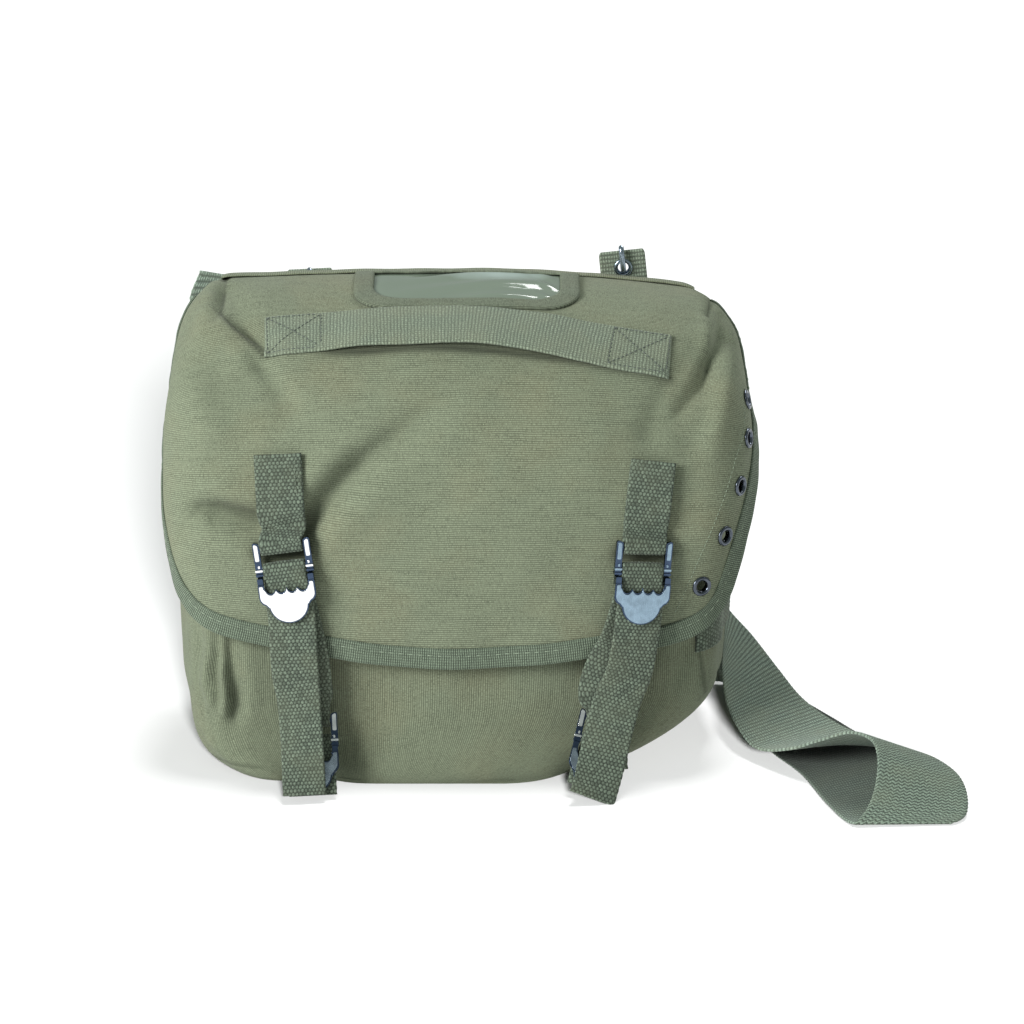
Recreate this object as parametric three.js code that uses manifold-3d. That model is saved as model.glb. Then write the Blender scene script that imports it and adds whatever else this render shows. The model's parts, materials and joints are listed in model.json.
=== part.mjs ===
// Small canvas field pack, stuffed and standing on its base with the flap closed.
// Millimetres, +Z up, the front faces -Y, the origin is the middle of the flat base.
import * as THREE from "three";
import { mergeVertices } from "three/addons/utils/BufferGeometryUtils.js";
import Module from "manifold-3d";

const wasm = await Module();
wasm.setup();

// ---------------------------------------------------------------- driving sizes
const CANVAS = 2.0; // wall of the bag and of the flap
const TAPE = 1.0; // binding tape
const TAPE_WIDTH = 12.7;
const WEB = 1.6; // narrow webbing
const WEB_WIDTH = 25.4;
const WIDE_WEB = 2.2; // shoulder strap
const HANDLE_WIDTH = 28.5;
const GAP = 0.4; // between touching pieces
const EYELET = { bore: 2.9, barrel: 3.7, flange: 5.0, hole: 4.1 };
const WIRE = 1.25; // radius of the hooks' wire

// The rounded foot of the bag: base outline, and the outline where the foot ends.
const FOOT_HEIGHT = 48;
const BASE = { left: -120, right: 60, front: -63, back: 52, corner: 32 };
// Plan of the bag above the foot.
const BODY_ROWS = [
  // z, left, right, front, back, corner, bulge of the front
  { z: 48, left: -152, right: 136, front: -58, back: 62, corner: 30, bulge: 7 },
  { z: 85, left: -152, right: 137, front: -54.5, back: 62, corner: 30, bulge: 9 },
  { z: 120, left: -150, right: 136, front: -51.5, back: 62, corner: 30, bulge: 10 },
  { z: 160, left: -147, right: 135, front: -46.5, back: 62, corner: 30, bulge: 10 },
  { z: 200, left: -142, right: 131, front: -36, back: 62, corner: 28, bulge: 8 },
  { z: 244, left: -134, right: 122, front: -24, back: 61, corner: 26, bulge: 4 },
];
// Height of the bag's mouth around its plan: side of the plan, share along it, height.
const RIM_ROWS = [
  { at: 0.0, z: 184 }, // front, left end
  { at: 0.5, z: 191 },
  { at: 1.0, z: 184 }, // front, right end
  { at: 2.0, z: 190 }, // right side
  { at: 3.0, z: 214 },
  { at: 4.0, z: 233 }, // back, right end
  { at: 4.5, z: 241 },
  { at: 5.0, z: 239 }, // back, left end
  { at: 6.0, z: 216 }, // left side
  { at: 7.0, z: 190 },
  { at: 8.0, z: 184 },
];
// Creases of the bag's front, in x and z: a line, its half width and its depth (out is positive).
const BODY_FOLDS = [
  { x0: -128, z0: 84, x1: -126, z1: 36, wide: 6, deep: -5 },
  { x0: -138, z0: 78, x1: -137, z1: 40, wide: 7, deep: 3 },
  { x0: -126, z0: 36, x1: -133, z1: 30, wide: 6, deep: -4 },
  { x0: 118, z0: 70, x1: 122, z1: 34, wide: 7, deep: -3 },
  { x0: -50, z0: 20, x1: 40, z1: 18, wide: 16, deep: 2 },
];

// Middle line of the flap from the back seam over the top and down the front.
const FLAP_LINE = [
  { y: 62, z: 246.5 },
  { y: 44, z: 249 },
  { y: 24, z: 249 },
  { y: 4, z: 245.5 },
  { y: -15, z: 238 },
  { y: -33, z: 225 },
  { y: -48, z: 207 },
  { y: -59, z: 184 },
  { y: -66, z: 156 },
  { y: -70, z: 124 },
  { y: -71, z: 94 },
  { y: -70, z: 64 },
  { y: -69.5, z: 50 },
];
// Section of the flap across, by distance along that line: half width where the wing hangs
// straight, radius of its turn, angle of the wing, and radius of the crown, on each side.
const FLAP_ROWS = [
  { v: 0, wl: 148, rl: 20, al: 62, cl: 3000, wr: 134, rr: 20, ar: 62, cr: 900 },
  { v: 30, wl: 155, rl: 24, al: 80, cl: 2000, wr: 144, rr: 24, ar: 78, cr: 900 },
  { v: 60, wl: 157, rl: 26, al: 88, cl: 1300, wr: 148, rr: 26, ar: 84, cr: 900 },
  { v: 95, wl: 159, rl: 28, al: 90, cl: 1000, wr: 150, rr: 28, ar: 84, cr: 900 },
  { v: 125, wl: 161, rl: 29, al: 92, cl: 900, wr: 152, rr: 28, ar: 80, cr: 900 },
  { v: 152, wl: 162, rl: 30, al: 92, cl: 800, wr: 151, rr: 28, ar: 70, cr: 800 },
  { v: 180, wl: 162, rl: 30, al: 90, cl: 800, wr: 148, rr: 28, ar: 58, cr: 800 },
  { v: 212, wl: 160, rl: 30, al: 80, cl: 800, wr: 144, rr: 28, ar: 48, cr: 800 },
  { v: 245, wl: 155, rl: 30, al: 64, cl: 800, wr: 140, rr: 28, ar: 38, cr: 800 },
  { v: 285, wl: 150, rl: 30, al: 50, cl: 800, wr: 133, rr: 28, ar: 30, cr: 800 },
];
// Outline of the flap laid flat: its sides by v, and its lower edge by t, across.
const FLAP_LEFT = [
  { v: 0, t: -148 },
  { v: 25, t: -168 },
  { v: 60, t: -184 },
  { v: 100, t: -192 },
  { v: 150, t: -194 },
  { v: 185, t: -188 },
  { v: 215, t: -177 },
  { v: 236, t: -163 },
  { v: 246, t: -152 },
];
const FLAP_RIGHT = [
  { v: 0, t: 134 },
  { v: 25, t: 153 },
  { v: 60, t: 169 },
  { v: 100, t: 177 },
  { v: 125, t: 179 },
  { v: 152, t: 176 },
  { v: 180, t: 168 },
  { v: 209, t: 157 },
  { v: 231, t: 148 },
  { v: 241, t: 142 },
];
const FLAP_FOOT = [
  { t: -152, v: 246 },
  { t: -140, v: 252 },
  { t: -124, v: 256.5 },
  { t: -105, v: 260 },
  { t: -70, v: 265 },
  { t: -40, v: 268.5 },
  { t: 0, v: 270 },
  { t: 40, v: 268 },
  { t: 64, v: 265 },
  { t: 97, v: 261 },
  { t: 112, v: 258 },
  { t: 126, v: 253 },
  { t: 136, v: 247 },
  { t: 142, v: 241 },
];
// Folds of the flap, on the flat cloth: a line, its half width and its depth (out is positive).
const FLAP_FOLDS = [
  { t0: -131, v0: 30, t1: -112, v1: 96, wide: 8, deep: -3 },
  { t0: -112, v0: 110, t1: -98, v1: 128, wide: 10, deep: -3 },
  { t0: -88, v0: 196, t1: -58, v1: 160, wide: 9, deep: -4 },
  { t0: -132, v0: 188, t1: -112, v1: 190, wide: 9, deep: -3 },
  { t0: 128, v0: 92, t1: 98, v1: 138, wide: 9, deep: -4 },
  { t0: 142, v0: 70, t1: 116, v1: 140, wide: 8, deep: -3 },
  { t0: 112, v0: 88, t1: 88, v1: 120, wide: 10, deep: 3 },
];
const EYELETS = [
  { t: 157, v: 114.5 },
  { t: 156.5, v: 142.5 },
  { t: 150, v: 171.5 },
  { t: 140, v: 199.5 },
  { t: 127, v: 226.5 },
];

// Patch with the clear window, on the flap's top, on the flat cloth.
const PATCH = { half: 61, v0: 10.5, v1: 64, corner: 12, sill: 10, base: 9, deep: 1.0 };
const PANE = 0.6;

// Handle: sewn ends and the lift of its middle off the flap, on the flat cloth.
const HANDLE_ROWS = [
  // t, v, lift of the upper edge, lift of the lower edge
  { t: -108, v: 80.5, lift: 0, lower: 0 },
  { t: -92, v: 80, lift: 0, lower: 0 },
  { t: -74, v: 79.5, lift: 0.4, lower: 0.8 },
  { t: -52, v: 79.5, lift: 1.2, lower: 3.0 },
  { t: -20, v: 79.5, lift: 1.4, lower: 4.2 },
  { t: 12, v: 80, lift: 1.4, lower: 4.6 },
  { t: 44, v: 84, lift: 1.2, lower: 3.6 },
  { t: 66, v: 88, lift: 0.4, lower: 1 },
  { t: 84, v: 91, lift: 0, lower: 0 },
  { t: 106, v: 93.5, lift: 0, lower: 0 },
];

// Buckles: a ladder frame and a toothed thumb plate, in the frame's own p (across), q (up), n (out).
const BUCKLE = {
  half: 15.6, post: 2.4, top: 9, foot: -9.5, thick: 2,
  upperBar: [2.6, 5.2], lowerBar: [-5.2, -2.6],
};
const LEVER = { arm: -10, tooth: -18, shoulder: -24, tab: 10.4, end: -37, n: 4.2, thick: 1.4, teeth: 4 };
const UPPER = {
  left: { t: -98, v: 206.3, out: 6.6, roll: 5 },
  right: { t: 95, v: 207, out: 7.4, roll: -5, turn: 0.2 },
};
const LOWER = {
  left: { x: -84, y: -75.5, z: 31, lean: 34, roll: 3 },
  right: { x: 73.5, y: -75.5, z: 31, lean: 34, roll: -13 },
};
const STUB_TOP = { left: { t: -99.5, v: 152 }, right: { t: 101.5, v: 154 } };
// Free ends of the closure straps below the thumb plates: x, y, z of the middle line.
const FREE_END = {
  left: [
    { x: -90.5, y: -78, z: 66 },
    { x: -88.6, y: -78.5, z: 52 },
    { x: -87.2, y: -83.5, z: 38 },
    { x: -86, y: -91.5, z: 23 },
    { x: -85, y: -100, z: 9 },
    { x: -84.5, y: -104, z: 2.4 },
  ],
  right: [
    { x: 87, y: -78, z: 66 },
    { x: 81.5, y: -78.5, z: 52 },
    { x: 77, y: -83.5, z: 38 },
    { x: 73, y: -91.5, z: 23 },
    { x: 69, y: -100, z: 9 },
    { x: 67, y: -104, z: 3.6 },
  ],
};
// The closure straps' taut runs between the buckles: x, y, z of the middle line.
const TAUT = {
  left: [
    { x: -82.5, y: -72.5, z: 52 },
    { x: -84, y: -72, z: 66 },
    { x: -87, y: -71.8, z: 80 },
  ],
  right: [
    { x: 72.5, y: -73.5, z: 52 },
    { x: 76, y: -73.8, z: 66 },
    { x: 83, y: -72.6, z: 80 },
  ],
};

// Where the bottom straps are sewn to the bag's front, and where their free ends stop below the buckle.
const BOTTOM_ROOT = {
  left: { x: -80, y: -65.2, z: 14, end: -35.5 },
  right: { x: 76, y: -66, z: 14, end: -32 },
};

// Shoulder strap: its two selvedges, one row per section, from its sewn end on the back,
// out on the right, round the lying bend and back behind the bag to the top left corner.
const STRAP_ROWS = [
  // near edge x, y, z, far edge x, y, z
  { a: [98, 65.6, 32], b: [98, 65.6, 78] },
  { a: [122, 65.6, 31], b: [122, 65.6, 77] },
  { a: [141, 55, 34], b: [139, 66.5, 64] },
  { a: [141.2, 32, 37], b: [145, 66, 50] },
  { a: [140.6, 12, 31], b: [158.5, 50, 39] },
  { a: [142, -6, 21.8], b: [172, 28, 27.7] },
  { a: [147, -26, 15], b: [185, 4, 18.6] },
  { a: [157, -44, 8.5], b: [202, -20, 13.8] },
  { a: [174, -62, 15.4], b: [217, -38, 12.7] },
  { a: [190, -74, 25.5], b: [230, -54, 13.3] },
  { a: [205, -84, 33.7], b: [242.6, -68, 15.5] },
  { a: [215.4, -96, 34], b: [253.5, -82, 16] },
  { a: [218, -109, 28.4], b: [262.5, -97, 13.6] },
  { a: [216, -122, 18], b: [266, -110, 8] },
  { a: [211, -131, 8.5], b: [264, -125, 2.6] },
  { a: [204, -134, 2], b: [256, -131, 1.5] },
  { a: [193, -108, 1.5], b: [241, -97, 7] },
  { a: [181, -64, 1.5], b: [228, -52, 10] },
  { a: [165, -28, 1.7], b: [211, -17, 8.5] },
  { a: [155, 4, 5], b: [200, 16, 4] },
  { a: [149, 30, 14], b: [185, 46, 2] },
  { a: [143, 54, 28], b: [163, 70, 2.2] },
  { a: [132, 69.6, 44], b: [134, 75, 3] },
  { a: [104, 71, 60], b: [98, 73, 16] },
  { a: [66, 69, 90], b: [44, 69.5, 48] },
  { a: [-22, 66.5, 162], b: [-50, 66.5, 125] },
  { a: [-76, 68.6, 206], b: [-112, 67.5, 174] },
  { a: [-98, 69.6, 224], b: [-143, 68, 209] },
  { a: [-106, 69.8, 233], b: [-153, 67.8, 228] },
  { a: [-104, 69.8, 238], b: [-147, 67.6, 246] },
];
const STRAP_STEPS = 84;

// Back tabs: outline in x and height along the tab, and how far each leans back.
const TAB = { width: 25.4, tall: 38, thick: 1.8, corner: 4, hole: 4.2, eye: 9.5 };
const TABS = {
  right: { x: 88.5, y: 71.2, z: 217, lean: 2, roll: 6 },
  left: { x: -86, y: 74.5, z: 208.5, lean: 38, roll: 3 },
};

const COLOUR = { canvas: 0x7d8767, webbing: 0x66735a, tape: 0x6c775c, steel: 0x8d959b, dark: 0x3c4247, vinyl: 0xc9d2cf };

// ---------------------------------------------------------------- small helpers
const RAD = Math.PI / 180;
const add = (a, b, k = 1) => [a[0] + b[0] * k, a[1] + b[1] * k, a[2] + b[2] * k];
const sub = (a, b) => [a[0] - b[0], a[1] - b[1], a[2] - b[2]];
const dot = (a, b) => a[0] * b[0] + a[1] * b[1] + a[2] * b[2];
const cross = (a, b) => [a[1] * b[2] - a[2] * b[1], a[2] * b[0] - a[0] * b[2], a[0] * b[1] - a[1] * b[0]];
const unit = (a) => { const l = Math.hypot(...a) || 1; return [a[0] / l, a[1] / l, a[2] / l]; };
const mix = (a, b, k) => a + (b - a) * k;
const smoothstep = (lo, hi, x) => THREE.MathUtils.smoothstep(x, lo, hi);

// A smooth curve through a table's rows: the column `of` at x in the column `by`.
function read(rows, by, of, x) {
  const last = rows.length - 1;
  if (x <= rows[0][by]) return rows[0][of];
  if (x >= rows[last][by]) return rows[last][of];
  let i = 0;
  while (x > rows[i + 1][by]) i++;
  const slope = (k) => {
    const a = rows[Math.max(k - 1, 0)], b = rows[Math.min(k + 1, last)];
    return (b[of] - a[of]) / (b[by] - a[by]);
  };
  const h = rows[i + 1][by] - rows[i][by], s = (x - rows[i][by]) / h, s2 = s * s, s3 = s2 * s;
  return (2 * s3 - 3 * s2 + 1) * rows[i][of] + (s3 - 2 * s2 + s) * h * slope(i)
    + (3 * s2 - 2 * s3) * rows[i + 1][of] + (s3 - s2) * h * slope(i + 1);
}

// How far the folds push a point (a, b) of a flat cloth.
function folded(rows, a0, b0, a1, b1, a, b) {
  let push = 0;
  for (const f of rows) {
    const dx = f[a1] - f[a0], dy = f[b1] - f[b0], l2 = dx * dx + dy * dy || 1;
    const k = Math.min(1, Math.max(0, ((a - f[a0]) * dx + (b - f[b0]) * dy) / l2));
    const d = Math.hypot(a - f[a0] - dx * k, b - f[b0] - dy * k) / f.wide;
    push += f.deep * Math.exp(-d * d);
  }
  return push;
}

// A closed solid from two faces of the same grid: rows of points, outer face first.
function gridSolid(outer, inner, ring = false) {
  const rows = outer.length, cols = outer[0].length, points = [], index = [];
  for (const face of [outer, inner]) for (const row of face) for (const p of row) points.push(...p);
  const at = (f, i, j) => f * rows * cols + i * cols + (ring ? j % cols : j);
  const quad = (a, b, c, d) => index.push(a, b, c, a, c, d);
  const across = ring ? cols : cols - 1;
  for (let i = 0; i < rows - 1; i++)
    for (let j = 0; j < across; j++) {
      quad(at(0, i, j), at(0, i, j + 1), at(0, i + 1, j + 1), at(0, i + 1, j));
      quad(at(1, i, j), at(1, i + 1, j), at(1, i + 1, j + 1), at(1, i, j + 1));
    }
  for (let j = 0; j < across; j++) {
    quad(at(0, 0, j), at(1, 0, j), at(1, 0, j + 1), at(0, 0, j + 1));
    quad(at(0, rows - 1, j), at(0, rows - 1, j + 1), at(1, rows - 1, j + 1), at(1, rows - 1, j));
  }
  if (!ring)
    for (let i = 0; i < rows - 1; i++) {
      quad(at(0, i, 0), at(0, i + 1, 0), at(1, i + 1, 0), at(1, i, 0));
      quad(at(0, i, cols - 1), at(1, i, cols - 1), at(1, i + 1, cols - 1), at(0, i + 1, cols - 1));
    }
  return facing(points, index);
}

// The geometry with its faces turned out.
function facing(points, index) {
  let volume = 0;
  for (let k = 0; k < index.length; k += 3) {
    const [a, b, c] = [0, 1, 2].map((m) => points.slice(3 * index[k + m], 3 * index[k + m] + 3));
    volume += dot(a, cross(b, c));
  }
  if (volume < 0) for (let k = 0; k < index.length; k += 3) [index[k + 1], index[k + 2]] = [index[k + 2], index[k + 1]];
  const g = new THREE.BufferGeometry();
  g.setAttribute("position", new THREE.Float32BufferAttribute(points, 3));
  g.setIndex(index);
  return g;
}

// A section of points carried along stations, each a function from section point to place.
function sweptSolid(stations, section) {
  const n = section.length, points = [], index = [];
  for (const place of stations) for (const s of section) points.push(...place(s));
  for (let i = 0; i < stations.length - 1; i++)
    for (let j = 0; j < n; j++) {
      const a = i * n + j, b = i * n + ((j + 1) % n);
      index.push(a, b, b + n, a, b + n, a + n);
    }
  const flat = section.map((s) => new THREE.Vector2(s[0], s[1]));
  const caps = THREE.ShapeUtils.triangulateShape(flat, []);
  const end = (stations.length - 1) * n;
  for (const [a, b, c] of caps) {
    index.push(a, c, b);
    index.push(end + a, end + b, end + c);
  }
  return facing(points, index);
}

// Points spaced evenly along a smooth curve.
function smooth(points, count) {
  const curve = new THREE.CatmullRomCurve3(points.map((p) => new THREE.Vector3(...p)), false, "centripetal");
  curve.arcLengthDivisions = 900;
  return curve.getSpacedPoints(count).map((p) => [p.x, p.y, p.z]);
}

// A flat band along a middle line, as wide as given across the hint, which may change along it.
function band(points, count, width, thick, hintAt) {
  const line = smooth(points, count);
  const outer = [], inner = [];
  let lastN = null;
  for (let i = 0; i < line.length; i++) {
    const along = unit(sub(line[Math.min(i + 1, line.length - 1)], line[Math.max(i - 1, 0)]));
    const hint = typeof hintAt === "function" ? hintAt(i / count) : hintAt;
    const across = unit(add(hint, along, -dot(hint, along)));
    let n = unit(cross(along, across));
    if (lastN && dot(n, lastN) < -0.2) n = n.map((k) => -k);
    lastN = n;
    const a = add(line[i], across, -width / 2), b = add(line[i], across, width / 2);
    outer.push([add(a, n, thick / 2), add(b, n, thick / 2)]);
    inner.push([add(a, n, -thick / 2), add(b, n, -thick / 2)]);
  }
  return gridSolid(outer, inner);
}

function solid(geometry) {
  const g = geometry.index ? geometry.clone() : geometry;
  for (const name of ["normal", "uv"]) if (g.getAttribute(name)) g.deleteAttribute(name);
  const m = mergeVertices(g, 1e-3);
  return new wasm.Manifold(new wasm.Mesh({
    numProp: 3,
    vertProperties: new Float32Array(m.attributes.position.array),
    triVerts: new Uint32Array(m.index.array),
  }));
}
function geometryOf(manifold) {
  const m = manifold.getMesh(), g = new THREE.BufferGeometry(), p = [];
  for (let i = 0; i < m.vertProperties.length; i += m.numProp) p.push(m.vertProperties[i], m.vertProperties[i + 1], m.vertProperties[i + 2]);
  g.setAttribute("position", new THREE.Float32BufferAttribute(p, 3));
  g.setIndex([...m.triVerts]);
  return g;
}

const pack = new THREE.Group();
function piece(name, geometry, colour, roughness = 0.9, metalness = 0) {
  const mesh = new THREE.Mesh(geometry, new THREE.MeshStandardMaterial({ color: colour, roughness, metalness }));
  mesh.name = name;
  pack.add(mesh);
  return mesh;
}

// ---------------------------------------------------------------- the bag
const SIDES = [14, 4, 5, 4, 8, 4, 5, 4]; // columns on each side and corner of the plan

// A point of a rounded rectangle: part is the side's number plus the share along it.
function plan(part, s, bulge) {
  const k = Math.min(7, Math.floor(part)), u = part - k, r = s.corner;
  const x0 = s.left + r, x1 = s.right - r, y0 = s.front + r, y1 = s.back - r;
  const swell = Math.sin(Math.PI * u) ** 2;
  if (k === 0) return [mix(x0, x1, u), s.front - bulge * swell];
  if (k === 2) return [s.right + 0.6 * bulge * swell, mix(y0, y1, u)];
  if (k === 4) return [mix(x1, x0, u), s.back];
  if (k === 6) return [s.left - 0.6 * bulge * swell, mix(y1, y0, u)];
  const centre = { 1: [x1, y0, -90], 3: [x1, y1, 0], 5: [x0, y1, 90], 7: [x0, y0, 180] }[k];
  const a = (centre[2] + 90 * u) * RAD;
  return [centre[0] + r * Math.cos(a), centre[1] + r * Math.sin(a)];
}

// The bag's outer face: part around the plan, w from 0 at the base to 1 at the foot's end and 2 at the mouth.
function bodyPoint(part, w) {
  part = ((part % 8) + 8) % 8;
  const rim = read(RIM_ROWS, "at", "z", part);
  let z, s = {}, bulge;
  const columns = ["left", "right", "front", "back", "corner"];
  if (w <= 1) {
    const a = (w * Math.PI) / 2, grow = Math.sin(a);
    z = FOOT_HEIGHT * (1 - Math.cos(a));
    for (const c of columns) s[c] = mix(BASE[c], BODY_ROWS[0][c], grow);
    bulge = BODY_ROWS[0].bulge * grow;
  } else {
    z = mix(FOOT_HEIGHT, rim, w - 1);
    for (const c of columns) s[c] = read(BODY_ROWS, "z", c, z);
    bulge = read(BODY_ROWS, "z", "bulge", z);
  }
  const [x, y] = plan(part, s, bulge);
  const front = part < 1.4 || part > 7.6 ? 1 : 0;
  const push = front && w > 0.25 ? folded(BODY_FOLDS, "x0", "z0", "x1", "z1", x, z) : 0;
  return [x, y - push, z];
}
function normalAt(fn, a, b, da, db, flip = 1) {
  const u = sub(fn(a + da, b), fn(a - da, b)), v = sub(fn(a, b + db), fn(a, b - db));
  return unit(cross(u, v)).map((k) => k * flip);
}
function bag() {
  const parts = SIDES.flatMap((n, k) => Array.from({ length: n }, (_, i) => k + i / n));
  const levels = [0.0, 0.24, 0.46, 0.66, 0.84, 1.0, 1.16, 1.34, 1.54, 1.75, 2.0];
  const outer = [], inner = [];
  for (const w of levels) {
    const o = [], n = [];
    for (const part of parts) {
      const p = bodyPoint(part, w);
      let out = normalAt(bodyPoint, part, Math.min(Math.max(w, 0.012), 1.988), 0.01, 0.01);
      if (w === 0) out = [0, 0, -1];
      if (w === 2) out = unit([out[0], out[1], 0]);
      o.push(p);
      n.push(add(p, out, -CANVAS));
    }
    outer.push(o);
    inner.push(n);
  }
  // walls, then the base and the inside of the base, each a middle panel and a strip around it
  const cols = parts.length, points = [], index = [];
  const put = (p) => points.push(...p) / 3 - 1;
  const ids = [outer, inner].map((face) => face.map((row) => row.map(put)));
  const quad = (a, b, c, d) => index.push(a, b, c, a, c, d);
  for (let i = 0; i < levels.length - 1; i++)
    for (let j = 0; j < cols; j++) {
      const k = (j + 1) % cols;
      quad(ids[0][i][j], ids[0][i][k], ids[0][i + 1][k], ids[0][i + 1][j]);
      quad(ids[1][i][j], ids[1][i + 1][j], ids[1][i + 1][k], ids[1][i][k]);
    }
  const top = levels.length - 1;
  for (let j = 0; j < cols; j++) {
    const k = (j + 1) % cols;
    quad(ids[0][top][j], ids[0][top][k], ids[1][top][k], ids[1][top][j]);
  }
  for (const f of [0, 1]) {
    const ring = ids[f][0];
    const flat = ring.map((id) => new THREE.Vector2(points[3 * id], points[3 * id + 1]));
    for (const [a, b, c] of THREE.ShapeUtils.triangulateShape(flat, []))
      f === 0 ? index.push(ring[a], ring[c], ring[b]) : index.push(ring[a], ring[b], ring[c]);
  }
  return facing(points, index);
}
piece("bag_body", bag(), COLOUR.canvas);

// ---------------------------------------------------------------- the flap
let run = 0;
const LINE = FLAP_LINE.map((row, i) => {
  if (i) run += Math.hypot(row.y - FLAP_LINE[i - 1].y, row.z - FLAP_LINE[i - 1].z);
  return { v: run, y: row.y, z: row.z };
});

// A point of the flap's middle surface at the flat cloth's (t, v), without its folds.
function flapForm(t, v) {
  const e = 0.5;
  const at = (k, c) => read(LINE, "v", c, k);
  const y = at(v, "y"), z = at(v, "z");
  const on = Math.min(Math.max(v, 0), run), lo = Math.max(on - e, 0), hi = Math.min(on + e, run);
  const ty = at(hi, "y") - at(lo, "y"), tz = at(hi, "z") - at(lo, "z"), l = Math.hypot(ty, tz) || 1;
  const ny = tz / l, nz = -ty / l;
  const past = v > run ? v - run : v < 0 ? v : 0; // straight on past the ends of the line
  const side = t < 0 ? "l" : "r", a = Math.abs(t);
  const col = (c) => read(FLAP_ROWS, "v", c + side, v);
  const wide = col("w"), r = col("r"), angle = col("a") * RAD, crown = col("c");
  const s1 = (wide - r) / (crown - r), f1 = Math.asin(s1), b = crown * f1;
  let x, h;
  if (a <= b) {
    x = crown * Math.sin(a / crown);
    h = -crown * (1 - Math.cos(a / crown));
  } else {
    const f = Math.min(f1 + (a - b) / r, Math.max(angle, f1)), left = a - b - (f - f1) * r;
    x = crown * s1 + r * (Math.sin(f) - s1) + left * Math.cos(f);
    h = -crown * (1 - Math.cos(f1)) - r * (Math.cos(f1) - Math.cos(f)) - left * Math.sin(f);
  }
  return [Math.sign(t) * x, y + h * ny + (past * ty) / l, z + h * nz + (past * tz) / l];
}
const flapOut = (fn, t, v) => normalAt(fn, t, v, 0.6, 0.6, -1);
function flapPoint(t, v) {
  const push = folded(FLAP_FOLDS, "t0", "v0", "t1", "v1", t, v);
  return add(flapForm(t, v), flapOut(flapForm, t, v), push);
}
const onFlap = (t, v, n) => add(flapPoint(t, v), flapOut(flapPoint, t, v), n);

// The flat cloth between its four edges: i across from left to right, j from the seam to the lower edge.
function flapFlat(i, j) {
  const lv = FLAP_LEFT.at(-1).v, rv = FLAP_RIGHT.at(-1).v, lt = FLAP_LEFT.at(-1).t, rt = FLAP_RIGHT.at(-1).t;
  const back = [mix(FLAP_LEFT[0].t, FLAP_RIGHT[0].t, i), 0];
  const ft = mix(lt, rt, i), foot = [ft, read(FLAP_FOOT, "t", "v", ft)];
  const left = [read(FLAP_LEFT, "v", "t", lv * j), lv * j], right = [read(FLAP_RIGHT, "v", "t", rv * j), rv * j];
  return [0, 1].map((c) => (1 - j) * back[c] + j * foot[c] + (1 - i) * left[c] + i * right[c]
    - ((1 - i) * (1 - j) * [FLAP_LEFT[0].t, 0][c] + i * (1 - j) * [FLAP_RIGHT[0].t, 0][c]
      + (1 - i) * j * [lt, lv][c] + i * j * [rt, rv][c]));
}
// Shares across the flap, closer together round the wings' turns.
function spacing(count, crowd) {
  return Array.from({ length: count + 1 }, (_, k) => {
    const u = k / count;
    return u - (crowd * Math.sin(2 * Math.PI * u)) / (2 * Math.PI);
  });
}
const ACROSS = spacing(28, 0.5), DOWN = spacing(22, 0.3);
function flapSheet() {
  const outer = [], inner = [];
  for (const j of DOWN) {
    const o = [], n = [];
    for (const i of ACROSS) {
      const [t, v] = flapFlat(i, j);
      o.push(onFlap(t, v, CANVAS / 2));
      n.push(onFlap(t, v, -CANVAS / 2));
    }
    outer.push(o);
    inner.push(n);
  }
  return gridSolid(outer, inner);
}
// A straight pin through the flap at an eyelet, for its hole.
function turned(geometry, t, v, n) {
  const z = new THREE.Vector3(...flapOut(flapPoint, t, v));
  const q = new THREE.Quaternion().setFromUnitVectors(new THREE.Vector3(0, 1, 0), z);
  return geometry.applyQuaternion(q).translate(...onFlap(t, v, n));
}
let flapSolid = solid(flapSheet());
for (const { t, v } of EYELETS) flapSolid = flapSolid.subtract(solid(turned(new THREE.CylinderGeometry(EYELET.hole, EYELET.hole, 8, 16), t, v, 0)));
piece("flap", geometryOf(flapSolid), COLOUR.canvas);

EYELETS.forEach(({ t, v }, k) => {
  const h = CANVAS / 2 + 1.1, lip = 0.8;
  const profile = [
    [EYELET.bore, -h - lip], [EYELET.flange, -h - lip], [EYELET.flange, -h], [EYELET.barrel, -h],
    [EYELET.barrel, h], [EYELET.flange, h], [EYELET.flange - 0.6, h + lip], [EYELET.bore, h + lip], [EYELET.bore, -h - lip],
  ].map((p) => new THREE.Vector2(...p));
  piece(`eyelet_${k + 1}`, turned(new THREE.LatheGeometry(profile, 12), t, v, 0), COLOUR.dark, 0.35, 0.9);
});

// The flap's free edge on the flat cloth, from the back left corner round to the back right one.
function freeEdge() {
  const sides = DOWN.slice(2);
  return [...sides.map((j) => flapFlat(0, j)), ...ACROSS.slice(1).map((i) => flapFlat(i, 1)), ...sides.slice(0, -1).reverse().map((j) => flapFlat(1, j))];
}
function binding() {
  const edge = freeEdge(), slack = 1.1;
  const hold = CANVAS / 2 + slack, face = hold + TAPE, out = slack + TAPE;
  // across the tape (w is into the cloth from its edge) and through it
  const section = [
    [TAPE_WIDTH - out, face], [-out, face], [-out, -face], [TAPE_WIDTH - out, -face],
    [TAPE_WIDTH - out, -hold], [-slack, -hold], [-slack, hold], [TAPE_WIDTH - out, hold],
  ];
  const stations = edge.map(([t, v], i) => {
    const a = edge[Math.max(i - 1, 0)], b = edge[Math.min(i + 1, edge.length - 1)];
    const l = Math.hypot(b[0] - a[0], b[1] - a[1]), inT = -(a[1] - b[1]) / l, inV = -(b[0] - a[0]) / l;
    return ([w, n]) => onFlap(t + inT * w, v + inV * w, n);
  });
  return sweptSolid(stations, section);
}
piece("flap_binding", binding(), COLOUR.tape);

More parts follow.
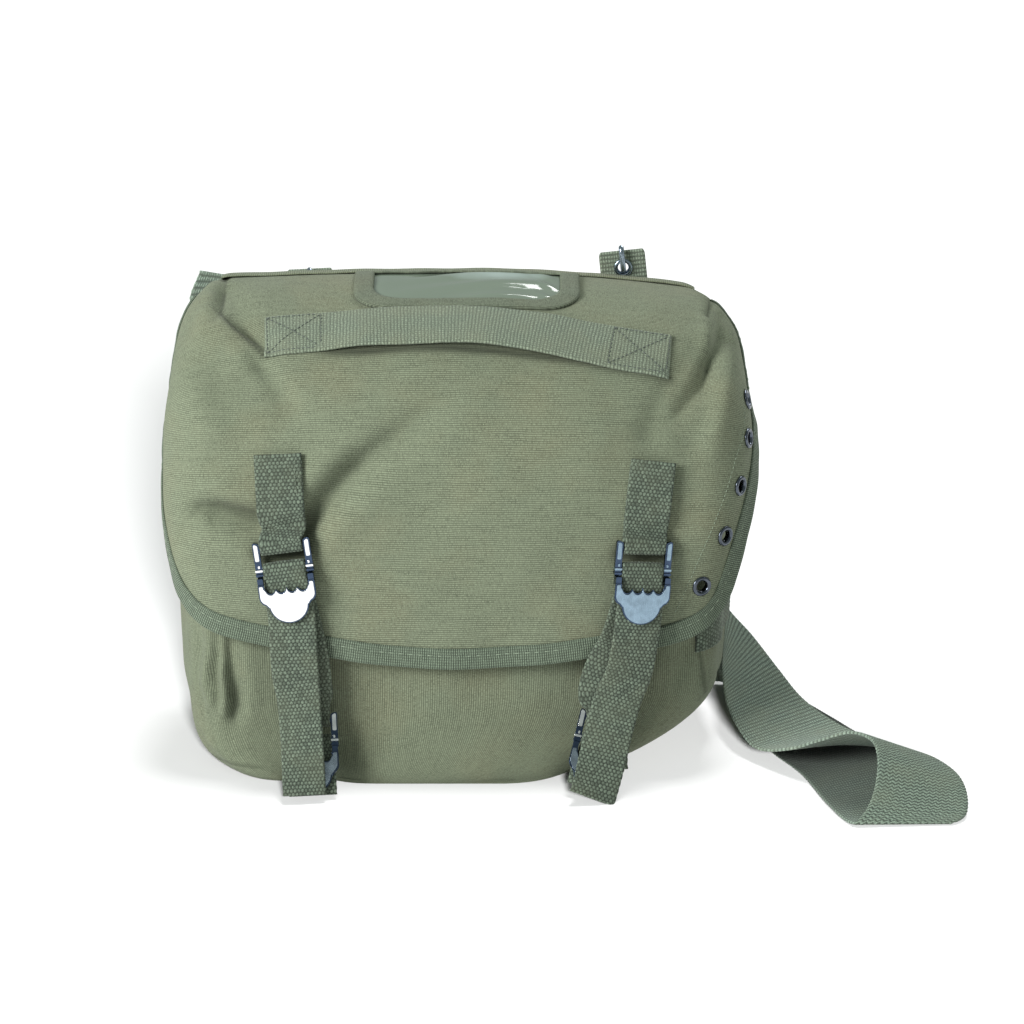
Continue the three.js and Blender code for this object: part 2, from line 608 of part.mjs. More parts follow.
// Tape over the seam of the flap and the back, an angle in section, beside the flap's back edge.
function backTape() {
  const section = [[4.6, -13], [4.6, 1.0], [2.6, 3.2], [-7.5, 3.4], [-7.5, 2.3], [2.2, 2.1], [3.5, 0.6], [3.5, -13]];
  const stations = Array.from({ length: 25 }, (_, k) => {
    const t = mix(-134, 124, k / 24), p = flapPoint(t, 0), out = flapOut(flapForm, t, 0.8);
    return ([dy, dz]) => (dy > 2.5 ? [p[0], p[1] + dy, p[2] + dz] : [p[0] + out[0] * dz, p[1] + dy + (dy < 0 ? 0 : 0), p[2] + dz + (dy < 0 ? read(LINE, "v", "z", -dy) - LINE[0].z : 0)]);
  });
  return sweptSolid(stations, section);
}
piece("back_binding", backTape(), COLOUR.tape);

// ---------------------------------------------------------------- window on the flap's top
function patchOuter(u) {
  // outline of the patch on the flat cloth, rounded at the two front corners
  const { half, v0, v1, corner } = PATCH, shape = new THREE.Shape();
  shape.moveTo(-half, v0).lineTo(half, v0).lineTo(half, v1 - corner)
    .absarc(half - corner, v1 - corner, corner, 0, Math.PI / 2, false).lineTo(-half + corner, v1)
    .absarc(-half + corner, v1 - corner, corner, Math.PI / 2, Math.PI, false);
  shape.closePath();
  return shape.getSpacedPoints(u);
}
// A ring of quads between the patch's outline and its cut-out, bent over the flap.
function surround() {
  const count = 44, outline = patchOuter(count).slice(0, count), outer = [], inner = [];
  const mid = (PATCH.v0 + PATCH.v1) / 2, kx = (PATCH.half - PATCH.sill) / PATCH.half, ky = (PATCH.v1 - PATCH.v0 - 2 * PATCH.base) / (PATCH.v1 - PATCH.v0);
  const n0 = CANVAS / 2 + GAP + PANE + GAP + 0.3, n1 = n0 + PATCH.deep;
  for (const k of [1, 0.5, 0]) {
    const place = (n) => outline.map((p) => onFlap(p.x * mix(kx, 1, k), mid + (p.y - mid) * mix(ky, 1, k), n));
    outer.push(place(n1));
    inner.push(place(n0));
  }
  return gridSolid(outer, inner, true);
}
piece("window_surround", surround(), COLOUR.canvas);
function pane() {
  const outer = [], inner = [], n0 = CANVAS / 2 + GAP;
  for (let j = 0; j <= 6; j++) {
    const o = [], n = [], v = mix(PATCH.v0 + 4, PATCH.v1 - 4, j / 6);
    for (let i = 0; i <= 12; i++) {
      const t = mix(-PATCH.half + 4.5, PATCH.half - 4.5, i / 12);
      o.push(onFlap(t, v, n0 + PANE));
      n.push(onFlap(t, v, n0));
    }
    outer.push(o);
    inner.push(n);
  }
  return gridSolid(outer, inner);
}
piece("window_pane", pane(), COLOUR.vinyl, 0.1);

// ---------------------------------------------------------------- handle
function handle() {
  const steps = 32, outer = [], inner = [], base = CANVAS / 2 + GAP + 1.0, thick = 1.9;
  for (let k = 0; k <= steps; k++) {
    const t = mix(HANDLE_ROWS[0].t, HANDLE_ROWS.at(-1).t, k / steps);
    const v = read(HANDLE_ROWS, "t", "v", t), lifts = ["lift", "lower"].map((c) => read(HANDLE_ROWS, "t", c, t));
    const slope = (read(HANDLE_ROWS, "t", "v", t + 1) - read(HANDLE_ROWS, "t", "v", t - 1)) / 2;
    const o = [], n = [];
    for (const s of [-0.5, 0, 0.5]) {
      const lift = mix(...lifts, s + 0.5), tt = t - slope * s * HANDLE_WIDTH, vv = v + s * HANDLE_WIDTH;
      const from = onFlap(tt, vv, base), up = flapOut(flapForm, t, v);
      o.push(add(from, up, lift + thick));
      n.push(add(from, up, lift));
    }
    outer.push(o);
    inner.push(n);
  }
  return gridSolid(outer, inner);
}
piece("handle", handle(), COLOUR.webbing);

// ---------------------------------------------------------------- buckles and front straps
// A buckle's own frame: its origin and its across, up and out directions.
function buckleFrame(o, across, out, roll) {
  const n = unit(out), p0 = unit(add(across, n, -dot(across, n))), q0 = cross(n, p0);
  const c = Math.cos(roll * RAD), s = Math.sin(roll * RAD);
  const p = add(p0.map((k) => k * c), q0, s), q = add(q0.map((k) => k * c), p0, -s);
  return { o, p, q, n, at: (a, b, d) => add(add(add(o, p, a), q, b), n, d) };
}
const upperFrame = (side) => {
  const { t, v, out, roll, turn = 0 } = UPPER[side];
  const n = flapOut(flapForm, t, v);
  const facing = (by) => buckleFrame(onFlap(t, v, out), [1, 0, 0], unit([n[0] * 0.4 + by, n[1], n[2]]), roll);
  return { ...facing(turn), level: facing(0).p }; // level: across, where the straps lie on the flap
};
const lowerFrame = (side) => {
  const { x, y, z, lean, roll } = LOWER[side];
  return buckleFrame([x, y, z], [1, 0, 0], [0, -Math.cos(lean * RAD), Math.sin(lean * RAD)], roll);
};
const FRAMES = { upper: { left: upperFrame("left"), right: upperFrame("right") }, lower: { left: lowerFrame("left"), right: lowerFrame("right") } };
function placed(geometry, f) {
  const m = new THREE.Matrix4().makeBasis(new THREE.Vector3(...f.p), new THREE.Vector3(...f.q), new THREE.Vector3(...f.n)).setPosition(...f.o);
  return geometry.applyMatrix4(m);
}
function ladder() {
  const { half, post, top, foot, thick, upperBar, lowerBar } = BUCKLE, inner = half - post, shape = new THREE.Shape();
  shape.moveTo(-half, foot).lineTo(-inner, foot).lineTo(-inner, lowerBar[0]).lineTo(inner, lowerBar[0]).lineTo(inner, foot).lineTo(half, foot)
    .lineTo(half, top).lineTo(inner, top).lineTo(inner, upperBar[1]).lineTo(-inner, upperBar[1]).lineTo(-inner, top).lineTo(-half, top);
  shape.closePath();
  const slot = new THREE.Path();
  slot.moveTo(-inner, lowerBar[1]).lineTo(inner, lowerBar[1]).lineTo(inner, upperBar[0]).lineTo(-inner, upperBar[0]);
  slot.closePath();
  shape.holes.push(slot);
  return new THREE.ExtrudeGeometry(shape, { depth: thick, bevelEnabled: false }).translate(0, 0, -thick / 2);
}
function thumbPlate() {
  const { arm, tooth, shoulder, tab, end, n, thick, teeth } = LEVER, { half, post } = BUCKLE, inner = half - post;
  const shape = new THREE.Shape();
  shape.moveTo(-half, arm).lineTo(-half, shoulder + 2).lineTo(-tab - 1, shoulder - 2).lineTo(-tab, end + tab)
    .absarc(0, end + tab, tab, Math.PI, 2 * Math.PI, false)
    .lineTo(tab + 1, shoulder - 2).lineTo(half, shoulder + 2).lineTo(half, arm).lineTo(inner, arm).lineTo(inner, tooth + 2.5);
  const pitch = (2 * (inner - 1.5)) / teeth;
  for (let k = 0; k < teeth; k++) {
    const right = inner - 1.5 - k * pitch;
    shape.lineTo(right, tooth).absarc(right - pitch / 2, tooth, pitch / 2 - 0.5, 0, -Math.PI, true).lineTo(right - pitch, tooth);
  }
  shape.lineTo(-inner, tooth + 2.5).lineTo(-inner, arm);
  shape.closePath();
  return new THREE.ExtrudeGeometry(shape, { depth: thick, bevelEnabled: false, curveSegments: 4 }).translate(0, 0, n);
}
// Two short rolled ears that carry the thumb plate beside the posts' feet.
function lever() {
  let made = solid(thumbPlate());
  const { half, post } = BUCKLE;
  for (const s of [-1, 1]) {
    const ear = new THREE.CylinderGeometry(2.3, 2.3, post, 10).rotateZ(Math.PI / 2).translate(s * (half - post / 2), LEVER.arm - 2.6, 2.2);
    made = made.add(solid(ear));
  }
  return geometryOf(made);
}
for (const level of ["upper", "lower"])
  for (const side of ["left", "right"]) {
    piece(`${level}_buckle_${side}`, placed(ladder(), FRAMES[level][side]), COLOUR.steel, 0.3, 0.9);
    piece(`${level}_lever_${side}`, placed(lever(), FRAMES[level][side]), COLOUR.steel, 0.3, 0.9);
  }

// A band's middle line round a bar, in a buckle's q and n: from the front to the back, under or over it.
const CLEAR = 2.05 + WEB / 2;
const roundBar = (bar, way) => Array.from({ length: 7 }, (_, k) => {
  const a = (k / 6) * Math.PI;
  return [(bar[0] + bar[1]) / 2 - way * CLEAR * Math.sin(a), way * CLEAR * Math.cos(a)];
});
const underBar = (bar) => roundBar(bar, 1);
const overBar = (bar) => roundBar(bar, -1);
function stub(side) {
  const f = FRAMES.upper[side], top = STUB_TOP[side], low = UPPER[side], lay = CANVAS / 2 + GAP + 0.8 + WEB / 2;
  const flapRun = (from, to, n) => Array.from({ length: 5 }, (_, k) => {
    const s = mix(from, to, k / 4);
    return onFlap(mix(top.t, low.t, s), mix(top.v, low.v, s), n);
  });
  const front = flapRun(0, 0.72, lay + WEB + 0.7), back = flapRun(0.72, 0.1, lay);
  const turn = underBar(BUCKLE.upperBar).map(([q, n]) => f.at(0, q, n));
  const turnTo = (k) => { const w = smoothstep(0.24, 0.4, k) - smoothstep(0.52, 0.68, k); return add(f.level.map((c) => c * (1 - w)), f.p, w); };
  return band([...front, f.at(0, 9.5, CLEAR), ...turn, f.at(0, 9.5, -CLEAR), ...back], 60, WEB_WIDTH, WEB, turnTo);
}
function closure(side) {
  const up = FRAMES.upper[side], low = FRAMES.lower[side];
  const foot = [low.at(0, 15, -CLEAR + 0.2), low.at(0, 9, -CLEAR)];
  const turn = underBar(BUCKLE.upperBar).map(([q, n]) => low.at(0, q, n)).reverse();
  const taut = TAUT[side].map(({ x, y, z }) => [x, y, z]);
  const rise = [low.at(0, 8, CLEAR), ...taut, up.at(0, -14, -CLEAR - 0.3), up.at(0, -9, -CLEAR)];
  const loop = overBar(BUCKLE.lowerBar).map(([q, n]) => up.at(0, q, n));
  const fall = [up.at(0, -9, CLEAR), up.at(0, -20, CLEAR - 0.3), up.at(0, -32, CLEAR - 0.3)];
  const free = FREE_END[side].map(({ x, y, z }) => [x, y, z]);
  const turnTo = (k) => {
    const rise = smoothstep(0.15, 0.32, k), free = smoothstep(0.66, 0.84, k);
    return add(add(low.p.map((c) => c * (1 - rise)), up.p, rise * (1 - free)), up.level, rise * free);
  };
  return band([...foot, ...turn, ...rise, ...loop, ...fall, ...free], 120, WEB_WIDTH, WEB, turnTo);
}
function bottom(side) {
  const f = FRAMES.lower[side], { x, y, z, end } = BOTTOM_ROOT[side];
  const start = [[x, y + 0.6, z - 8], [x, y, z], f.at(0, -8.5, -8.5)];
  const loop = overBar(BUCKLE.lowerBar).map(([q, n]) => f.at(0, q, n));
  const fall = [f.at(0, -10, CLEAR), f.at(0, -20, CLEAR - 0.2), f.at(0, mix(-20, end, 0.6), CLEAR - 0.5), f.at(0, end, CLEAR - 1.2)];
  return band([...start, ...loop, ...fall], 44, WEB_WIDTH, WEB, f.p);
}
for (const side of ["left", "right"]) {
  piece(`strap_stub_${side}`, stub(side), COLOUR.webbing);
  piece(`closure_strap_${side}`, closure(side), COLOUR.webbing);
  piece(`bottom_strap_${side}`, bottom(side), COLOUR.webbing);
}

// ---------------------------------------------------------------- side webbing
function sideBand() {
  const outer = [], inner = [];
  for (let k = 0; k <= 16; k++) {
    const part = mix(1.36, 2.95, k / 16);
    const o = [], n = [];
    for (const w of [1.14, 1.22, 1.3]) {
      const p = bodyPoint(part, w), out = normalAt(bodyPoint, part, w, 0.01, 0.01);
      o.push(add(p, out, GAP + WEB));
      n.push(add(p, out, GAP));
    }
    outer.push(o);
    inner.push(n);
  }
  return gridSolid(outer, inner);
}
piece("side_webbing", sideBand(), COLOUR.webbing);

// ---------------------------------------------------------------- shoulder strap
function shoulderStrap() {
  const a = smooth(STRAP_ROWS.map((r) => r.a), STRAP_STEPS), b = smooth(STRAP_ROWS.map((r) => r.b), STRAP_STEPS);
  const outer = [], inner = [];
  for (let i = 0; i <= STRAP_STEPS; i++) {
    const mid = (k) => add(a[k].map((c) => c / 2), b[k], 0.5);
    const along = unit(sub(mid(Math.min(i + 1, STRAP_STEPS)), mid(Math.max(i - 1, 0))));
    const across = unit(sub(b[i], a[i])), n = unit(cross(across, along));
    const line = [0, 0.5, 1].map((k) => add(a[i], sub(b[i], a[i]), k));
    outer.push(line.map((p) => add(p, n, WIDE_WEB / 2)));
    inner.push(line.map((p) => add(p, n, -WIDE_WEB / 2)));
  }
  return gridSolid(outer, inner);
}
piece("shoulder_strap", shoulderStrap(), COLOUR.webbing);

// ---------------------------------------------------------------- back tabs with eyelet and hook
function tabShape() {
  const { width, tall, corner, hole, eye } = TAB, h = width / 2, shape = new THREE.Shape();
  shape.moveTo(-h, 0).lineTo(h, 0).lineTo(h, tall - corner).absarc(h - corner, tall - corner, corner, 0, Math.PI / 2, false)
    .lineTo(-h + corner, tall).absarc(-h + corner, tall - corner, corner, Math.PI / 2, Math.PI, false);
  shape.closePath();
  const bore = new THREE.Path();
  bore.absarc(0, tall - eye, hole, 0, 2 * Math.PI, true);
  shape.holes.push(bore);
  return new THREE.ExtrudeGeometry(shape, { depth: TAB.thick, bevelEnabled: false, curveSegments: 8 }).translate(0, 0, -TAB.thick / 2);
}
for (const side of ["left", "right"]) {
  const { x, y, z, lean, roll } = TABS[side];
  const f = buckleFrame([x, y, z], [1, 0, 0], [0, -Math.cos(lean * RAD), Math.sin(lean * RAD)], roll);
  piece(`back_tab_${side}`, placed(tabShape(), f), COLOUR.webbing);
  const h = TAB.thick / 2 + 0.35, lip = 0.8, barrel = TAB.hole - 0.4;
  const ring = [[2.9, -h - lip], [5.2, -h - lip], [5.2, -h], [barrel, -h], [barrel, h], [5.2, h], [4.7, h + lip], [2.9, h + lip], [2.9, -h - lip]];
  const eye = TAB.tall - TAB.eye;
  piece(`tab_grommet_${side}`, placed(new THREE.LatheGeometry(ring.map((p) => new THREE.Vector2(...p)), 12).rotateX(Math.PI / 2).translate(0, eye, 0), f), COLOUR.dark, 0.35, 0.9);
  // a wire through the eyelet, over the tab's top edge and down behind it
  const route = [[eye - 3.5, 5.4], [eye - 0.6, 4.2], [eye + 0.2, 1.5], [eye + 0.2, -1.5], [eye - 0.4, -3.8], [eye - 6, -5.4], [eye - 14, -5.2]];
  const rise = [[TAB.tall + 2.4, 1.2], [TAB.tall + 1.8, 3.6], [TAB.tall - 3, 4.6]];
  const path = new THREE.CatmullRomCurve3([...rise, ...route.slice(1)].map(([q, n]) => new THREE.Vector3(0, q, n)), false, "centripetal");
  const disc = new THREE.Shape();
  disc.absarc(0, 0, WIRE, 0, 2 * Math.PI, false);
  piece(`tab_hook_${side}`, placed(new THREE.ExtrudeGeometry(disc, { steps: 20, extrudePath: path, curveSegments: 3 }), f), COLOUR.steel, 0.3, 0.9);
}

export default pack;
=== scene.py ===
"""Looks of a small canvas field pack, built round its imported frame. Lengths in the tables are in millimetres."""
import json
import math

import bpy
import numpy as np
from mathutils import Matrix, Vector

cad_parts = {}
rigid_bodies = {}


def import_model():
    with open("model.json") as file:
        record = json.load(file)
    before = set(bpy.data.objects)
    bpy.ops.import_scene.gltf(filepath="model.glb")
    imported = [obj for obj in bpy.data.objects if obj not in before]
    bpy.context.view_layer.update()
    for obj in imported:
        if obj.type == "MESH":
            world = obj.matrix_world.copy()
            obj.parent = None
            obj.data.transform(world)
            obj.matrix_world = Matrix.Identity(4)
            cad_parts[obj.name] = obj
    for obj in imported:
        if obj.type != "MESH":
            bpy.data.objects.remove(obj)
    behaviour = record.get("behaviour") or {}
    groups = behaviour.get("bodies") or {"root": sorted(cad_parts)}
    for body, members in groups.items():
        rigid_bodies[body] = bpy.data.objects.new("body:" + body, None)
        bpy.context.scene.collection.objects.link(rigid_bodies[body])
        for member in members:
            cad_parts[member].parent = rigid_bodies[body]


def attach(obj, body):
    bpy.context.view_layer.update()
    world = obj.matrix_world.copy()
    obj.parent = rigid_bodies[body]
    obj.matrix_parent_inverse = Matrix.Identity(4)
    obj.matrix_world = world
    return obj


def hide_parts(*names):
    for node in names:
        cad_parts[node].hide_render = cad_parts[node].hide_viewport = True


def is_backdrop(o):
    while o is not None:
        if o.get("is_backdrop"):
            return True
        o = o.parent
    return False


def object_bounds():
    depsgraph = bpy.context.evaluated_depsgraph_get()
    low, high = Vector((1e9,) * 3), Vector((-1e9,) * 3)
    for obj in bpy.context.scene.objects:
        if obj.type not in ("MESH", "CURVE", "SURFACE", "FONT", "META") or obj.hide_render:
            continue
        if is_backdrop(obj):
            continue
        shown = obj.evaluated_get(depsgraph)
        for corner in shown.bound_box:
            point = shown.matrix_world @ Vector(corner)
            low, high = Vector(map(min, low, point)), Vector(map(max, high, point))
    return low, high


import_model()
box_at_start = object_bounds()
MM = 0.001


RAD = math.pi / 180
CANVAS, TAPE, TAPE_WIDTH, WEB, WEB_WIDTH, WIDE_WEB, GAP = 2.0, 1.0, 12.7, 1.6, 25.4, 2.2, 0.4
FOOT_HEIGHT = 48.0
# left, right, front, back, corner
BASE = np.array([-120.0, 60.0, -63.0, 52.0, 32.0])
# z, left, right, front, back, corner, bulge of the front
BODY_ROWS = np.array([
    (48, -152, 136, -58, 62, 30, 7),
    (85, -152, 137, -54.5, 62, 30, 9),
    (120, -150, 136, -51.5, 62, 30, 10),
    (160, -147, 135, -46.5, 62, 30, 10),
    (200, -142, 131, -36, 62, 28, 8),
    (244, -134, 122, -24, 61, 26, 4),
], float)
# side of the plan and share along it, height of the mouth
RIM_ROWS = np.array([
    (0, 184), (0.5, 191), (1, 184), (2, 190), (3, 214), (4, 233), (4.5, 241), (5, 239), (6, 216), (7, 190), (8, 184),
], float)
FLAP_LINE = np.array([
    (62, 246.5), (44, 249), (24, 249), (4, 245.5), (-15, 238), (-33, 225), (-48, 207), (-59, 184), (-66, 156),
    (-70, 124), (-71, 94), (-70, 64), (-69.5, 50),
], float)
# v, then half width, radius of the turn, angle of the wing and radius of the crown, left and right
FLAP_ROWS = np.array([
    (0, 148, 20, 62, 3000, 134, 20, 62, 900),
    (30, 155, 24, 80, 2000, 144, 24, 78, 900),
    (60, 157, 26, 88, 1300, 148, 26, 84, 900),
    (95, 159, 28, 90, 1000, 150, 28, 84, 900),
    (125, 161, 29, 92, 900, 152, 28, 80, 900),
    (152, 162, 30, 92, 800, 151, 28, 70, 800),
    (180, 162, 30, 90, 800, 148, 28, 58, 800),
    (212, 160, 30, 80, 800, 144, 28, 48, 800),
    (245, 155, 30, 64, 800, 140, 28, 38, 800),
    (285, 150, 30, 50, 800, 133, 28, 30, 800),
], float)
FLAP_LEFT = np.array([
    (0, -148), (25, -168), (60, -184), (100, -192), (150, -194), (185, -188), (215, -177), (236, -163), (246, -152),
], float)
FLAP_RIGHT = np.array([
    (0, 134), (25, 153), (60, 169), (100, 177), (125, 179), (152, 176), (180, 168), (209, 157), (231, 148), (241, 142),
], float)
FLAP_FOOT = np.array([
    (-152, 246), (-140, 252), (-124, 256.5), (-105, 260), (-70, 265), (-40, 268.5), (0, 270), (40, 268), (64, 265),
    (97, 261), (112, 258), (126, 253), (136, 247), (142, 241),
], float)
# folds that the frame has too, on the flat cloth: a line, its half width and its depth (out is positive)
FLAP_FOLDS = [
    (-131, 30, -112, 96, 8, -3),
    (-112, 110, -98, 128, 10, -3),
    (-88, 196, -58, 160, 9, -4),
    (-132, 188, -112, 190, 9, -3),
    (128, 92, 98, 138, 9, -4),
    (142, 70, 116, 140, 8, -3),
    (112, 88, 88, 120, 10, 3),
]


def read(keys, values, x):
    """A smooth curve through a table's rows, level past both ends."""
    k, y = np.asarray(keys, float), np.asarray(values, float)
    x = np.clip(np.asarray(x, float), k[0], k[-1])
    n = len(k)
    i = np.clip(np.searchsorted(k, x, side="left") - 1, 0, n - 2)
    lo, hi = np.maximum(np.arange(n) - 1, 0), np.minimum(np.arange(n) + 1, n - 1)
    m = (y[hi] - y[lo]) / (k[hi] - k[lo])
    h = k[i + 1] - k[i]
    s = (x - k[i]) / h
    s2, s3 = s * s, s * s * s
    return (2 * s3 - 3 * s2 + 1) * y[i] + (s3 - 2 * s2 + s) * h * m[i] + (3 * s2 - 2 * s3) * y[i + 1] + (s3 - s2) * h * m[i + 1]


def unit(a):
    return a / np.maximum(np.linalg.norm(a, axis=-1, keepdims=True), 1e-12)


def mix(a, b, k):
    return a + (b - a) * k


def step(a, b, x):
    k = np.clip((np.asarray(x, float) - a) / (b - a), 0, 1)
    return k * k * (3 - 2 * k)


def folded(rows, a, b):
    push = np.zeros(np.broadcast(a, b).shape)
    for a0, b0, a1, b1, wide, deep in rows:
        dx, dy = a1 - a0, b1 - b0
        k = np.clip(((a - a0) * dx + (b - b0) * dy) / (dx * dx + dy * dy or 1), 0, 1)
        d = np.hypot(a - a0 - dx * k, b - b0 - dy * k) / wide
        push = push + deep * np.exp(-d * d)
    return push


_step = np.hypot(np.diff(FLAP_LINE[:, 0]), np.diff(FLAP_LINE[:, 1]))
LINE_V = np.concatenate([[0], np.cumsum(_step)])
RUN = LINE_V[-1]


def flap_form(t, v):
    """A point of the flap's middle surface at the flat cloth's (t, v), without its folds."""
    t, v = np.broadcast_arrays(np.asarray(t, float), np.asarray(v, float))
    y, z = read(LINE_V, FLAP_LINE[:, 0], v), read(LINE_V, FLAP_LINE[:, 1], v)
    on = np.clip(v, 0, RUN)
    lo, hi = np.maximum(on - 0.5, 0), np.minimum(on + 0.5, RUN)
    ty = read(LINE_V, FLAP_LINE[:, 0], hi) - read(LINE_V, FLAP_LINE[:, 0], lo)
    tz = read(LINE_V, FLAP_LINE[:, 1], hi) - read(LINE_V, FLAP_LINE[:, 1], lo)
    l = np.maximum(np.hypot(ty, tz), 1e-9)
    ny, nz = tz / l, -ty / l
    past = np.where(v > RUN, v - RUN, np.where(v < 0, v, 0.0))
    a = np.abs(t)
    col = lambda c: np.where(t < 0, read(FLAP_ROWS[:, 0], FLAP_ROWS[:, c], v), read(FLAP_ROWS[:, 0], FLAP_ROWS[:, c + 4], v))
    wide, r, angle, crown = col(1), col(2), col(3) * RAD, col(4)
    s1 = (wide - r) / (crown - r)
    f1 = np.arcsin(s1)
    b = crown * f1
    f = np.minimum(f1 + np.maximum(a - b, 0) / r, np.maximum(angle, f1))
    left = a - b - (f - f1) * r
    flat = a <= b
    x = np.where(flat, crown * np.sin(a / crown), crown * s1 + r * (np.sin(f) - s1) + left * np.cos(f))
    h = np.where(flat, -crown * (1 - np.cos(a / crown)), -crown * (1 - np.cos(f1)) - r * (np.cos(f1) - np.cos(f)) - left * np.sin(f))
    return np.stack([np.sign(t) * x, y + h * ny + past * ty / l, z + h * nz + past * tz / l], -1)


def normal_of(fn, a, b, e, flip=1):
    u = fn(a + e, b) - fn(a - e, b)
    v = fn(a, b + e) - fn(a, b - e)
    return unit(np.cross(u, v)) * flip


def flap_frame(t, v):
    """The flap's middle surface with the folds that the frame has."""
    return flap_form(t, v) + normal_of(flap_form, t, v, 0.6, -1) * folded(FLAP_FOLDS, t, v)[..., None]


# ---------------------------------------------------------------- meshes
def volume(v, f):
    a, b, c, d = v[f[:, 0]], v[f[:, 1]], v[f[:, 2]], v[f[:, 3]]
    return float((a * np.cross(b, c)).sum() + (a * np.cross(c, d)).sum())


def outward(v, f):
    """Quads turned so that a closed mesh faces out."""
    return f[:, ::-1] if volume(v, f) < 0 else f


def grid_quads(rows, cols, ring=False):
    i, j = np.meshgrid(np.arange(rows - 1), np.arange(cols if ring else cols - 1), indexing="ij")
    k = (j + 1) % cols
    return np.stack([i * cols + j, i * cols + k, (i + 1) * cols + k, (i + 1) * cols + j], -1).reshape(-1, 4)


def sheet_solid(outer, inner, uv, gone=None):
    """A closed sheet from two faces of one grid. gone marks quads that are cut out, right through."""
    rows, cols = outer.shape[:2]
    q = grid_quads(rows, cols)
    n = rows * cols
    keep = np.ones(len(q), bool) if gone is None else ~gone.reshape(-1)
    top = q[keep]
    faces = [top, top[:, ::-1] + n]
    # walls along every edge that only one kept quad has
    e = np.concatenate([top[:, [0, 1]], top[:, [1, 2]], top[:, [2, 3]], top[:, [3, 0]]])
    key = np.sort(e, 1)
    _, first, count = np.unique(key[:, 0].astype(np.int64) * (2 * n) + key[:, 1], return_index=True, return_counts=True)
    rim = e[first[count == 1]]
    faces.append(np.stack([rim[:, 1], rim[:, 0], rim[:, 0] + n, rim[:, 1] + n], -1))
    v = np.concatenate([outer.reshape(-1, 3), inner.reshape(-1, 3)])
    f = np.concatenate(faces)
    u = np.concatenate([uv.reshape(-1, 2), uv.reshape(-1, 2)])
    used = np.unique(f)
    new = np.full(len(v), -1)
    new[used] = np.arange(len(used))
    v, u, f = v[used], u[used], new[f]
    return v, outward(v, f), u


def swept(stations, uv, capped=True):
    """A closed section carried along: stations is rows x section x 3. The ends close with flat fans."""
    rows, n = stations.shape[:2]
    v = stations.reshape(-1, 3)
    f = grid_quads(rows, n, True)
    u = uv.reshape(-1, 2)
    if capped:
        ends = []
        for row, order in ((0, -1), (rows - 1, 1)):
            mid = len(v)
            v = np.concatenate([v, stations[row].mean(0)[None]])
            u = np.concatenate([u, uv[row].mean(0)[None]])
            ring = row * n + np.arange(n)
            nxt = np.roll(ring, -1)
            pair = (ring, nxt) if order > 0 else (nxt, ring)
            ends.append(np.stack([pair[0], pair[1], np.full(n, mid), np.full(n, mid)], -1))
        f = np.concatenate([f, *ends])
    return v, outward(v, f), u


def joined(parts):
    v, f, u, at = [], [], [], 0
    for a, b, c in parts:
        v.append(a)
        f.append(b + at)
        u.append(c)
        at += len(a)
    return np.concatenate(v), np.concatenate(f), np.concatenate(u)


def show(name, made, material, replaces=(), smooth=True, sharp=None, painted_shade=None):
    v, f, u = made
    lists = [[x for k, x in enumerate(row) if x not in row[:k]] for row in f.tolist()]
    me = bpy.data.meshes.new(name)
    me.from_pydata((v * MM).tolist(), [], lists)
    index = np.zeros(len(me.loops), np.int32)
    me.loops.foreach_get("vertex_index", index)
    layer = me.uv_layers.new(name="Cloth")
    layer.data.foreach_set("uv", (u[index] * MM).astype(np.float32).ravel())
    me.polygons.foreach_set("use_smooth", np.full(len(me.polygons), bool(smooth)))
    if sharp is not None:
        me.set_sharp_from_angle(angle=sharp * RAD)
    # painted shade: a darkness per point, from 0 to 1, that the cloth finishes blend into their colour
    if painted_shade is not None:
        me.attributes.new("painted_shade", "FLOAT", "POINT").data.foreach_set("value", np.clip(painted_shade(u), 0, 1).astype(np.float32))
    me.materials.append(material)
    me.update()
    o = bpy.data.objects.new(name, me)
    bpy.context.scene.collection.objects.link(o)
    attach(o, "root")
    if replaces:
        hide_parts(*replaces)
    return o


def close_ring(o, total):
    """Carries the weave across the column where a ring of cloth closes."""
    me = o.data
    layer = me.uv_layers["Cloth"]
    uv = np.zeros(len(me.loops) * 2, np.float32)
    layer.data.foreach_get("uv", uv)
    uv = uv.reshape(-1, 2)
    start = np.zeros(len(me.polygons), np.int32)
    count = np.zeros(len(me.polygons), np.int32)
    me.polygons.foreach_get("loop_start", start)
    me.polygons.foreach_get("loop_total", count)
    wide = np.maximum.reduceat(uv[:, 1], start) - np.minimum.reduceat(uv[:, 1], start)
    split = np.repeat(wide > total * 0.4, count)
    uv[split & (uv[:, 1] < total * 0.3), 1] += total
    layer.data.foreach_set("uv", uv.ravel())


